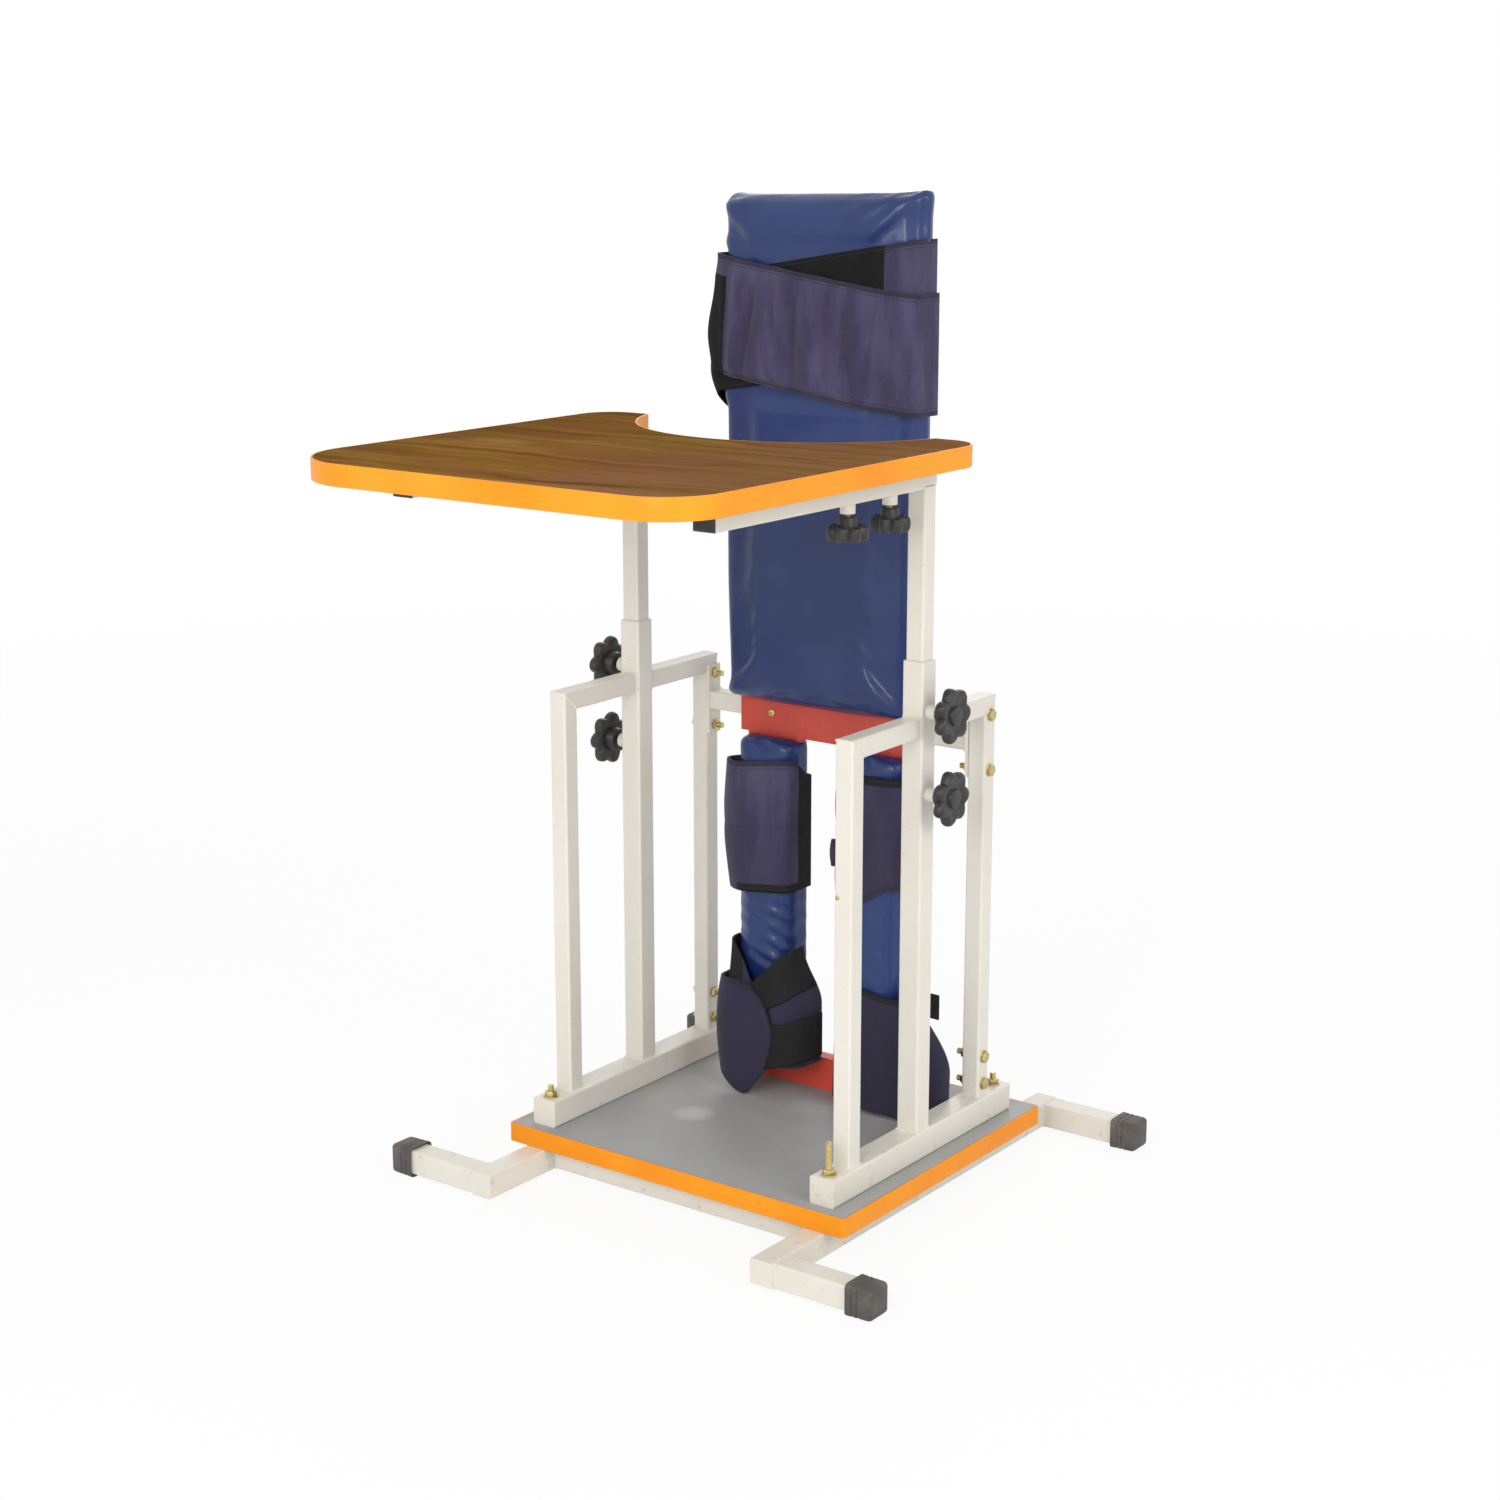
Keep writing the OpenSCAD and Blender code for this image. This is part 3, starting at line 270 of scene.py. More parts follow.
coat(cream_paint, "base_runner_left", "base_runner_right", "foot_stubs", "base_cross_tubes")


def weld_bead(bm, first, last, bead=0.0042):
    """A row of overlapping ripples from one point to another."""
    overlap, flatness = 0.62, 0.9
    first, last = Vector(first), Vector(last)
    count = max(2, round((last - first).length / (bead * overlap)))
    squash = Matrix.Diagonal((1.0, 1.0, flatness, 1.0))
    for step in range(count + 1):
        place = Matrix.Translation(first.lerp(last, step / count))
        bmesh.ops.create_icosphere(bm, subdivisions=1, radius=bead / 2, matrix=place @ squash)


def weld_round(bm, place, across, normal):
    """A weld all round a square tube that stands on a face."""
    place, normal = Vector(place), Vector(normal)
    side = normal.yzx * (across / 2)
    up = normal.cross(side)
    corners = [place + side + up, place - side + up, place - side - up, place + side - up]
    for first, last in zip(corners, corners[1:] + corners[:1]):
        weld_bead(bm, first, last)


base_tube, base_bead = 0.032, 0.94
runner_low, runner_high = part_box("base_runner_right")
stub_mid = (runner_low.z + runner_high.z) / 2
stub_ys = (runner_low.y + base_tube / 2, runner_high.y - base_tube / 2)
cross_low, cross_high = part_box("base_cross_tubes")
cross_ys = (cross_low.y + base_tube / 2, cross_high.y - base_tube / 2)
bm = bmesh.new()
for side in (-1, 1):
    for x, ys in ((runner_high.x, stub_ys), (runner_low.x, cross_ys)):
        for y in ys:
            weld_round(bm, (side * x, y, stub_mid), base_tube * base_bead, (1, 0, 0))
make_piece("base_welds", bm, cream_paint, "frame", sharp=180)

# Foot caps: moulded black rubber cups pushed over the stub ends, with a lip at
# the mouth, two grip grooves and rounded corners. The whole frame stands on them.
rubber_black, rubber_dusty = (0.075, 0.068, 0.063), (0.155, 0.140, 0.126)
cap_rubber, shader, at = new_finish("cap_rubber", Roughness=0.6)
dust = at.cloud(45.0, 5.0, 0.6)
dust.rise(0.45, 0.75).between(rubber_black, rubber_dusty).into(shader["Base Color"])
(0.5 + dust * 0.3).into(shader["Roughness"])
at.cloud(900.0, 2.0).bump(0.0003, 0.4).into(shader["Normal"])


def new_verts(made):
    """The vertices among what an operator made."""
    return [part for part in made["geom"] if isinstance(part, bmesh.types.BMVert)]


def round_edges(bm, edges, offset, segments):
    bmesh.ops.bevel(
        bm, geom=edges, offset=offset, segments=segments, profile=0.5, affect="EDGES", material=-1,
    )


def join_into(bm, part):
    """Moves what one bmesh holds into another."""
    mesh = bpy.data.meshes.new("part")
    part.to_mesh(mesh)
    part.free()
    bm.from_mesh(mesh)
    bpy.data.meshes.remove(mesh)


cap_across, cap_long, cap_wall, cap_end = 0.040, 0.036, 0.0038, 0.006
cap_narrows, cap_round, cap_lip = (1, 0.95, 0.97), 0.0055, 0.003
grooves, groove_rim, groove_deep = ((0.22, 0.31), (0.42, 0.51)), 0.0006, 0.0009
caps_low, caps_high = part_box("foot_caps")
bm = bmesh.new()
for side in (-1, 1):
    for y in (caps_low.y + cap_across / 2, caps_high.y - cap_across / 2):
        cup = bmesh.new()
        bmesh.ops.create_cube(cup, size=1.0)
        bmesh.ops.scale(cup, verts=cup.verts, vec=(cap_long, cap_across, cap_across))
        bmesh.ops.scale(cup, verts=[v for v in cup.verts if v.co.x > 0], vec=cap_narrows)
        for cut in grooves[0] + grooves[1]:
            bmesh.ops.bisect_plane(
                cup, geom=cup.verts[:] + cup.edges[:] + cup.faces[:],
                plane_co=(cap_long * (cut - 0.5), 0, 0), plane_no=(1, 0, 0),
            )
        corners = [e for e in cup.edges if abs(e.verts[0].co.x - e.verts[1].co.x) > 1e-5]
        rim = [e for e in cup.edges if all(v.co.x > cap_long * 0.49 for v in e.verts)]
        round_edges(cup, corners + rim, cap_round, 3)
        for start, stop in grooves:
            band = [
                f for f in cup.faces if abs(f.normal.x) < 0.5
                and start < f.calc_center_median().x / cap_long + 0.5 < stop
            ]
            bmesh.ops.inset_region(cup, faces=band, thickness=groove_rim, depth=-groove_deep)
        mouth = min(cup.faces, key=lambda f: f.calc_center_median().x)
        bmesh.ops.inset_region(cup, faces=[mouth], thickness=cap_wall)
        bmesh.ops.translate(cup, verts=mouth.verts, vec=(cap_lip, 0, 0))
        deep = new_verts(bmesh.ops.extrude_face_region(cup, geom=[mouth]))
        bmesh.ops.translate(cup, verts=deep, vec=(cap_long - cap_lip - cap_end, 0, 0))
        bmesh.ops.delete(cup, geom=[mouth], context="FACES_ONLY")
        for vert in cup.verts:
            vert.co.y = max(-cap_across / 2, min(cap_across / 2, vert.co.y))
            vert.co.z = max(-cap_across / 2, min(cap_across / 2, vert.co.z))
        turn = Matrix.Rotation(0 if side > 0 else math.pi, 4, "Z")
        place = Matrix.Translation((side * (caps_high.x - cap_long / 2), y, cap_across / 2))
        bmesh.ops.transform(cup, matrix=place @ turn, verts=cup.verts)
        join_into(bm, cup)
make_piece("rubber_foot_caps", bm, cap_rubber, "frame", ["foot_caps"], 50)

# Footboard: particle board 25 mm thick with a grey laminate on top, and an orange
# plastic edging pressed round it. Feet have dulled and scratched the laminate.
chip_dark, chip_light = (0.30, 0.21, 0.12), (0.52, 0.40, 0.26)
chip_core, shader, at = new_finish("chip_core", Roughness=0.8)
chip = at.cloud(260.0, 4.0, 0.7)
chip.rise(0.3, 0.7).between(chip_dark, chip_light).into(shader["Base Color"])
(0.7 + chip * 0.2).into(shader["Roughness"])
chip.bump(0.0008, 0.5).into(shader["Normal"])
coat(chip_core, "base_board")

grey_dark, grey_light = (0.315, 0.32, 0.315), (0.385, 0.385, 0.375)
grey_clouded, scratch_grey = (0.43, 0.425, 0.41), (0.54, 0.53, 0.51)
worn_grey = (0.66, 0.645, 0.61)
worn_middle, worn_scale = (-0.0885, 0.061), (31, 31)
grey_laminate, shader, at = new_finish("grey_laminate", Roughness=0.45, Specular_IOR_Level=0.28)
fleck = at.cloud(700.0, 2.0)
tone = at.cloud(4.0, 4.0)
scratch = at.stretched(60, 4, 1).cloud(9.0, 3.0).rise(0.63, 0.70)
rubbed = at.stretched(5, 90, 1).cloud(8.0, 3.0).rise(0.64, 0.72)
worn = at.spot(worn_middle, worn_scale, tone * 0.5, 0.2, 1.1)
fleck.rise(0.3, 0.7).between(grey_dark, grey_light).under(
    (tone.rise(0.35, 0.7) * 0.4, grey_clouded),
    ((scratch + rubbed) * 0.16, scratch_grey),
    (worn * 0.6, worn_grey),
).into(shader["Base Color"])
(0.38 + tone * 0.16 + scratch * 0.1).into(shader["Roughness"])
(fleck * 0.6 - scratch * 0.4).bump(0.0002, 0.4).into(shader["Normal"])
coat(grey_laminate, "base_laminate")


def merged_copy(name):
    """A node's own mesh, with its triangles joined into whole faces."""
    bm = bmesh.new()
    bm.from_mesh(node[name].data)
    bmesh.ops.remove_doubles(bm, verts=bm.verts, dist=1e-6)
    bmesh.ops.dissolve_limit(bm, angle_limit=math.radians(1), verts=bm.verts, edges=bm.edges)
    return bm


def edging_lip(sheet, wide, high):
    """The soft lip of an edging, laid round the top of a laminate sheet."""
    lip = merged_copy(sheet)
    crest = max(v.co.z for v in lip.verts) + high * 0.9
    face = max(lip.faces, key=lambda f: (f.normal.z, f.calc_area()))
    bmesh.ops.delete(lip, geom=[f for f in lip.faces if f != face], context="FACES")
    ring = bmesh.ops.inset_region(
        lip, faces=lip.faces[:], thickness=wide, use_even_offset=True,
    )["faces"]
    bmesh.ops.delete(lip, geom=[f for f in lip.faces if f not in ring], context="FACES")
    raised = new_verts(bmesh.ops.extrude_face_region(lip, geom=lip.faces[:]))
    bmesh.ops.translate(lip, verts=raised, vec=(0, 0, high))
    rims = [
        e for e in lip.edges if all(v.co.z > crest for v in e.verts)
        and len(e.link_faces) == 2 and e.calc_face_angle(0) > 0.8
    ]
    round_edges(lip, rims, high * 0.7, 3)
    return lip


def edging(strip, round_off, sheet, lip_wide, lip_high):
    """An edging strip with its square edges rounded and its lip on the laminate."""
    bm = merged_copy(strip)
    rims = [
        e for e in bm.edges
        if len(e.link_faces) == 2 and e.calc_face_angle(0) > 1.2 and e.is_convex
    ]
    round_edges(bm, rims, round_off, 3)
    join_into(bm, edging_lip(sheet, lip_wide, lip_high))
    return bm


def edging_finish(name, colour, bright, grime):
    """Soft plastic edging: a clean colour, a little uneven, with dirt in its scuffs."""
    material, shader, at = new_finish(name, Roughness=0.42, Specular_IOR_Level=0.25)
    tone = at.cloud(9.0, 3.0)
    marks = at.cloud(70.0, 5.0, 0.65).rise(0.64, 0.72)
    plastic = tone.rise(0.3, 0.7).between(colour, bright)
    plastic.under((marks * 0.35, grime)).into(shader["Base Color"])
    (0.36 + tone * 0.12 + marks * 0.15).into(shader["Roughness"])
    (at.cloud(600.0) + tone).bump(0.0003, 0.25).into(shader["Normal"])
    return material


orange_edging = edging_finish(
    "orange_edging", colour=(0.90, 0.270, 0.003), bright=(0.98, 0.34, 0.008),
    grime=(0.40, 0.13, 0.01),
)
bm = edging("base_edging", 0.0012, "base_laminate", lip_wide=0.0022, lip_high=0.0006)
make_piece("footboard_edging", bm, orange_edging, "frame", ["base_edging"], 40)

# Side frames: each a bottom rail of 36 mm square tube, two uprights and a top rail in two
# lengths of 25 mm tube, mitred and welded, with the post sleeve between the lengths.
for name in ("bottom_rail_", "front_upright_", "rear_upright_", "top_rail_", "post_sleeve_"):
    coat(cream_paint, name + "left", name + "right")
coat(cream_paint, "tube_end_plates")
frame_tube, sleeve_tube, bead_share = 0.025, 0.030, 0.98
mitre_in, mitre_long, mitre_bead = 0.002, 0.021, 0.003
feet = {"front_upright_": frame_tube, "rear_upright_": frame_tube, "post_sleeve_": sleeve_tube}
rail_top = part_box("bottom_rail_right")[1].z
bm = bmesh.new()
for end in ("left", "right"):
    for name, across in feet.items():
        low_corner, high_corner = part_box(name + end)
        foot = (low_corner + high_corner) / 2
        weld_round(bm, (foot.x, foot.y, rail_top), across * bead_share, (0, 0, 1))
    sleeve_low, sleeve_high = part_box("post_sleeve_" + end)
    rail_low, rail_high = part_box("top_rail_" + end)
    middle = (sleeve_low.x + sleeve_high.x) / 2
    for y in (sleeve_low.y, sleeve_high.y):
        joint = (middle, y, rail_high.z - frame_tube / 2)
        weld_round(bm, joint, frame_tube * bead_share, (0, 1, 0))
    for y, lean in ((rail_low.y, 1), (rail_high.y, -1)):
        for x in (middle - frame_tube / 2, middle + frame_tube / 2):
            start = Vector((x, y + lean * mitre_in, rail_high.z - mitre_in))
            weld_bead(bm, start, start + Vector((0, lean * mitre_long, -mitre_long)), mitre_bead)
make_piece("side_frame_welds", bm, cream_paint, "frame", sharp=180)

# Base bolts: zinc plated with a yellow pass, up through runner, board and rail, with
# a washer and hexagon nut on the rail. The front right one is left long.
zinc_gold, zinc_dull, rust_brown = (0.66, 0.53, 0.24), (0.50, 0.43, 0.22), (0.16, 0.075, 0.03)
gold_zinc, shader, at = new_finish("gold_zinc", Roughness=0.36, Metallic=1.0)
stain = at.cloud(180.0, 4.0)
rust = at.cloud(320.0, 5.0, 0.65).rise(0.62, 0.72)
zinc = stain.rise(0.3, 0.7).between(zinc_gold, zinc_dull)
zinc.under((rust * 0.7, rust_brown)).into(shader["Base Color"])
(0.28 + stain * 0.2 + rust * 0.3).into(shader["Roughness"])
(1 - rust * 0.6).into(shader["Metallic"])
(at.cloud(800.0) - rust).bump(0.0002, 0.5).into(shader["Normal"])


def turned(bm, profile, matrix, steps=24):
    """Spins a profile of (radius, height) points into a closed solid."""
    lathe = bmesh.new()
    verts = [lathe.verts.new((radius, 0, height)) for radius, height in profile]
    edges = [lathe.edges.new(pair) for pair in zip(verts, verts[1:])]
    bmesh.ops.spin(
        lathe, geom=verts + edges, cent=(0, 0, 0), axis=(0, 0, 1), angle=math.tau, steps=steps,
        use_merge=True,
    )
    poles = [v for v in lathe.verts if math.hypot(v.co.x, v.co.y) < 1e-7]
    bmesh.ops.remove_doubles(lathe, verts=poles, dist=1e-6)
    bmesh.ops.transform(lathe, matrix=matrix, verts=lathe.verts)
    join_into(bm, lathe)


def threaded_rod(bm, matrix, across, start, stop, pitch=0.00125):
    """A rod with a cut thread and a chamfered tip."""
    base, root, crest, tip = across * 0.44, across * 0.43, across * 0.5, across * 0.40
    profile = [(0, start), (base, start)]
    for turn in range(int((stop - start) / pitch)):
        profile.append((root, start + pitch * (turn + 0.25)))
        profile.append((crest, start + pitch * (turn + 0.75)))
    profile += [(tip, stop), (0, stop)]
    turned(bm, profile, matrix, 20)


def hex_block(bm, matrix, flats, thick, start=0.0, bore=0.0):
    """A hexagon nut or bolt head with its corners turned off at both faces."""
    corner_off, bore_rim, bore_step, bore_deep = (flats * k for k in (0.055, 0.06, 0.03, 0.04))
    block = bmesh.new()
    bmesh.ops.create_circle(block, cap_ends=True, segments=6, radius=flats / math.sqrt(3))
    top = new_verts(bmesh.ops.extrude_face_region(block, geom=block.faces[:]))
    bmesh.ops.translate(block, verts=top, vec=(0, 0, thick))
    lids = [f for f in block.faces if len(f.verts) == 6]
    round_edges(block, list({e for f in lids for e in f.edges}), corner_off, 2)
    if bore:
        for lid in [f for f in block.faces if len(f.verts) == 6 and abs(f.normal.z) > 0.9]:
            bmesh.ops.inset_region(block, faces=[lid], thickness=(flats - bore) / 2 - bore_rim)
            bmesh.ops.inset_region(block, faces=[lid], thickness=bore_step, depth=-bore_deep)
    lifted = matrix @ Matrix.Translation((0, 0, start))
    bmesh.ops.transform(block, matrix=lifted, verts=block.verts)
    join_into(bm, block)


def washer(bm, matrix, across, bore, thick):
    """A stamped ring with soft edges."""
    half, hole, soft = across / 2, bore / 2, thick * 0.3
    rim = [(half - soft, 0), (half, soft), (half, thick - soft), (half - soft, thick)]
    turned(bm, [(hole, 0), *rim, (hole, thick), (hole, 0)], matrix, 32)


bolt_across, nut_flats, nut_thick = 0.008, 0.0135, 0.006
washer_across, washer_bore, washer_thick = 0.020, 0.0086, 0.0016
bolt_above, bolt_below = 0.0156, 0.010
bolt_foot = [(0, 0.0015), (0.006, 0.0018), (0.009, 0.0040), (0, 0.0040)]
nut_turn, nut_turn_y = 0.4, 9
nuts_low, nuts_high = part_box("base_nuts")
rail_low, rail_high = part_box("bottom_rail_right")
bolt_x = (rail_low.x + rail_high.x) / 2
rods, nuts = bmesh.new(), bmesh.new()
for side in (-1, 1):
    for y in (nuts_low.y + washer_across / 2, nuts_high.y - washer_across / 2):
        long_one = side > 0 and y < 0
        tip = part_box("base_bolts")[1].z if long_one else rail_top + bolt_above
        stand = along((side * bolt_x, y, 0), (0, 0, 1))
        threaded_rod(rods, stand, bolt_across, rail_top - bolt_below, tip)
        turned(rods, bolt_foot, stand)
        on_rail = along((side * bolt_x, y, rail_top), (0, 0, 1))
        washer(nuts, on_rail, washer_across, washer_bore, washer_thick)
        spin = Matrix.Rotation(nut_turn * side + nut_turn_y * y, 4, "Z")
        nut_foot = rail_top + washer_thick
        hex_block(nuts, stand @ spin, nut_flats, nut_thick, nut_foot, bolt_across)
make_piece("base_bolt_rods", rods, gold_zinc, "frame", ["base_bolts"], 30)
make_piece("base_bolt_nuts", nuts, gold_zinc, "frame", ["base_nuts"], 30)

# Cross tube: carries the back board's hip on end plates bolted through the rear uprights,
# heads outside, nuts inside. Two more bolts pass each upright low down, and two painted
# steel angles hold the back board's foot down on the footboard.
coat(cream_paint, "upper_cross_tube", "foot_brackets", "cross_end_plates")
bm = bmesh.new()
low_corner, high_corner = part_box("upper_cross_tube")
middle = (low_corner + high_corner) / 2
for x in (low_corner.x, high_corner.x):
    weld_round(bm, (x, middle.y, middle.z), frame_tube * bead_share, (1, 0, 0))
make_piece("cross_tube_welds", bm, cream_paint, "frame", sharp=180)

plate_face, upright_inside = 0.2035, 0.2075
cross_bolts = (
    (0.535, plate_face), (0.607, plate_face), (0.114, upright_inside), (0.151, upright_inside),
)
head_flats, head_washer, head_bore, head_lift = 0.0135, 0.0165, 0.0084, 0.0014
cross_flats, cross_thick, cross_tip, cross_root = 0.013, 0.006, 0.0135, 0.004
first_turn, next_turn = 0.35, 0.5
heads_low, heads_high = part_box("cross_bolts")
cross_y = (heads_low.y + heads_high.y) / 2
upright_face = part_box("rear_upright_right")[1].x
head_thick = heads_high.x - upright_face - head_lift
rods, nuts = bmesh.new(), bmesh.new()
for side in (-1, 1):
    for count, (z, nut_face) in enumerate(cross_bolts):
        stand = along((side * upright_face, cross_y, z), (side, 0, 0))
        twist = Matrix.Rotation(first_turn + next_turn * count, 4, "Z")
        washer(rods, stand, head_washer, head_bore, head_lift)
        hex_block(rods, stand @ twist, head_flats, head_thick, head_lift)
        inside = along((side * nut_face, cross_y, z), (-side, 0, 0))
        hex_block(nuts, inside @ twist, cross_flats, cross_thick, 0.0, bolt_across)
        threaded_rod(rods, inside, bolt_across, -cross_root, cross_tip)
make_piece("cross_bolt_heads", rods, gold_zinc, "frame", ["cross_bolts"], 30)
make_piece("cross_bolt_nuts", nuts, gold_zinc, "frame", ["cross_nuts"], 30)

# Height slide: a 25 mm post in each sleeve, welded to a tray bar, and clamped by two
# knobs whose studs screw through weld nuts on the outside of the sleeve.
coat(cream_paint, "sleeve_weld_nuts", "inner_post_left", "inner_post_right")
coat(cream_paint, "tray_bar_left", "tray_bar_right")
plastic_black, plastic_hazy = (0.016, 0.0155, 0.015), (0.036, 0.034, 0.032)
black_plastic, shader, at = new_finish("black_plastic", Roughness=0.42)
haze = at.cloud(60.0, 4.0)
haze.rise(0.35, 0.75).between(plastic_black, plastic_hazy).into(shader["Base Color"])
(0.34 + haze * 0.22).into(shader["Roughness"])
at.cloud(1400.0, 2.0).bump(0.0002, 0.35).into(shader["Normal"])

# Shares of the grip's radius, of its thickness, and of the lobes' depth
grip_rings = (
    (0.00, 0.04, 0.0), (0.50, 0.04, 0.2), (0.86, 0.00, 1.0), (0.96, 0.10, 1.0), (1.00, 0.30, 1.0),
    (1.00, 0.62, 1.0), (0.97, 0.82, 1.0), (0.91, 0.95, 1.0), (0.82, 1.00, 0.9), (0.70, 0.97, 0.7),
    (0.54, 0.84, 0.4), (0.40, 0.78, 0.1), (0.36, 0.80, 0.0), (0.335, 0.98, 0.0), (0.30, 1.05, 0.0),
    (0.20, 1.08, 0.0), (0.00, 1.08, 0.0),
)
lobes, lobe_steps, lobe_deep, lobe_bluntness = 7, 12, 0.23, 0.6
stud_across, stud_tip, stud_in_hub = 0.008, -0.002, 0.002
hub_start, head_start, hub_in_head = 0.016, 0.026, 0.002


def star_head(bm, matrix, across, thick):
    """A moulded star grip: rounded lobes that run down into a dished face with a boss in it."""
    grip = bmesh.new()
    last = len(grip_rings) - 1
    bmesh.ops.create_grid(grip, x_segments=lobes * lobe_steps, y_segments=last, size=0.5)
    for vert in grip.verts:
        angle = math.tau * (vert.co.x + 0.5)
        scale, height, lobed = grip_rings[round((vert.co.y + 0.5) * last)]
        wave = (0.5 + 0.5 * math.cos(lobes * angle)) ** lobe_bluntness
        reach = across / 2 * scale * (1 + lobed * lobe_deep * (wave - 1))
        vert.co = reach * math.cos(angle), reach * math.sin(angle), head_start + height * thick
    bmesh.ops.remove_doubles(grip, verts=grip.verts, dist=1e-6)
    bmesh.ops.transform(grip, matrix=matrix, verts=grip.verts)
    join_into(bm, grip)


def clamp_knob(name, place, direction, across, thick):
    """A knob on its stud, along a direction from the tube's face."""
    stand = along(place, direction)
    grip = bmesh.new()
    star_head(grip, stand, across, thick)
    neck, flare, neck_end = across * 0.2, across * 0.24, head_start + hub_in_head
    hub = [(0, hub_start), (neck, hub_start), (neck * 1.06, hub_start + 0.001)]
    turned(grip, hub + [(flare, neck_end), (0, neck_end)], stand)
    make_piece(name + "_grip", grip, black_plastic, name, [name], 32)
    stud = bmesh.new()
    threaded_rod(stud, stand, stud_across, stud_tip, hub_start + stud_in_hub)
    make_piece(name + "_stud", stud, gold_zinc, name, sharp=30)


ends = (("left", -1), ("right", 1))
knob_zs = {"upper": 0.638, "lower": 0.535}
sleeve_low, sleeve_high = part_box("post_sleeve_right")
sleeve_face, post_y = sleeve_high.x, (sleeve_low.y + sleeve_high.y) / 2
for end, side in ends:
    for level, z in knob_zs.items():
        place = (side * sleeve_face, post_y, z)
        clamp_knob(f"height_knob_{end}_{level}", place, (side, 0, 0), across=0.070, thick=0.014)

# Tray rails: 30 mm square tube that slides on the tray bars, with black plugs in the
# front ends, clamp knobs under weld nuts, and tabs screwed up into the tray.
coat(cream_paint, "tray_rail_left", "tray_rail_right", "rail_weld_nuts", "tray_tabs")
rail_x, plug_across, plug_thick = 0.220, 0.030 * 0.985, 0.0032
plug_taper, plug_round, plug_rim, plug_dish = (0.93, 1, 0.93), 0.0012, 0.004, 0.0006
plugs_low, plugs_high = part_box("rail_plugs")
bm = bmesh.new()
for side in (-1, 1):
    plug = bmesh.new()
    bmesh.ops.create_cube(plug, size=1.0)
    bmesh.ops.scale(plug, verts=plug.verts, vec=(plug_across, plug_thick, plug_across))
    front = [v for v in plug.verts if v.co.y < 0]
    bmesh.ops.scale(plug, verts=front, vec=plug_taper)
    rim = [e for e in plug.edges if all(v in front for v in e.verts)]
    round_edges(plug, rim, plug_round, 3)
    lid = min(plug.faces, key=lambda f: f.calc_center_median().y)
    bmesh.ops.inset_region(plug, faces=[lid], thickness=plug_rim, depth=-plug_dish)
    place = (side * rail_x, plugs_low.y + plug_thick / 2, (plugs_low.z + plugs_high.z) / 2)
    bmesh.ops.translate(plug, verts=plug.verts, vec=place)
    join_into(bm, plug)
make_piece("rail_end_plugs", bm, black_plastic, "tray", ["rail_plugs"], 40)

weld_nut = 0.018
rail_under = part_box("tray_rail_right")[0].z
nuts_low, nuts_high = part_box("rail_weld_nuts")
knob_ys = {"front": nuts_low.y + weld_nut / 2, "back": nuts_high.y - weld_nut / 2}
for end, side in ends:
    for level, y in knob_ys.items():
        place = (side * rail_x, y, rail_under)
        clamp_knob(f"tray_knob_{end}_{level}", place, (0, 0, -1), across=0.050, thick=0.018)


def screw_head(bm, matrix, across=0.010, high=0.0025):
    """A pan head with a small recess, its flat face at the matrix's origin."""
    shape = (
        (0, 0.55), (0.22, 0.55), (0.3, 0.97), (0.62, 1), (0.92, 0.72), (1, 0.25), (1, 0), (0, 0),
    )
    turned(bm, [(across / 2 * out, high * up) for out, up in shape], matrix)


bm = bmesh.new()
screw_half, screw_high = 0.005, 0.0025
screws_low, screws_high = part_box("tray_screws")
for x in (screws_low.x + screw_half, screws_high.x - screw_half):
    for y in (screws_low.y + screw_half, screws_high.y - screw_half):
        screw_head(bm, along((x, y, screws_low.z + screw_high), (0, 0, -1)))
make_piece("tray_tab_screws", bm, gold_zinc, "tray", ["tray_screws"], 35)

# Tray: board with a dark wood-grain laminate, cut out round the chest, and a broad
# yellow-orange edging rolled over its rim. Its left front corner is the roundest.
coat(chip_core, "tray_board")
grain_stops = [
    (0.28, (0.092, 0.040, 0.009)), (0.42, (0.215, 0.102, 0.022)), (0.56, (0.300, 0.150, 0.033)),
    (0.72, (0.44, 0.235, 0.062)),
]
figure_red, figure_olive = (0.255, 0.100, 0.050), (0.285, 0.175, 0.045)
right_red, left_dark, pale_brown = (0.285, 0.135, 0.080), (0.120, 0.055, 0.018), (0.46, 0.28, 0.11)
olive_brown, pore_brown = (0.32, 0.20, 0.055), (0.06, 0.028, 0.010)
wood_laminate, shader, at = new_finish("wood_laminate", Roughness=0.42, Specular_IOR_Level=0.0)
bend = at.stretched(3, 5, 1).cloud(1.6, 3.0)
across = at.axis(1) + bend * 0.09
grain_at = at.node("CombineXYZ", {}, {0: at.axis(0) * 1.6, 1: across * 34, 2: 0.0})
grain = grain_at.cloud(1.0, 6.0, 0.62)
pores = at.stretched(28, 700, 1).cloud(1.0, 3.0).rise(0.58, 0.7)
figure = at.stretched(2.2, 5, 1).cloud(1.7, 3.0)
pale = at.spot((-0.185, -0.186), (16, 45), bend * 0.6, 0.3, 1.3)
olive = at.spot((-0.02, -0.12), (8, 11), bend * 0.8, 0.3, 1.5)
grain.node("ValToRGB", {"stops": grain_stops}, {0: grain}).under(
    (figure.rise(0.48, 0.66) * 0.55, figure_red),
    (figure.fall(0.34, 0.47) * 0.45, figure_olive),
    (at.axis(0).rise(0.03, 0.12) * grain.rise(0.34, 0.58) * 0.7, right_red),
    (at.axis(0).fall(-0.28, -0.17) * 0.25, left_dark),
    (pale * 0.4, pale_brown),
    (olive * grain.rise(0.3, 0.6) * 0.6, olive_brown),
    (pores * 0.45, pore_brown),
).into(shader["Base Color"])
(0.36 + grain * 0.16).into(shader["Roughness"])
(grain * 0.4 - pores).bump(0.0002, 0.4).into(shader["Normal"])
coat(wood_laminate, "tray_laminate")
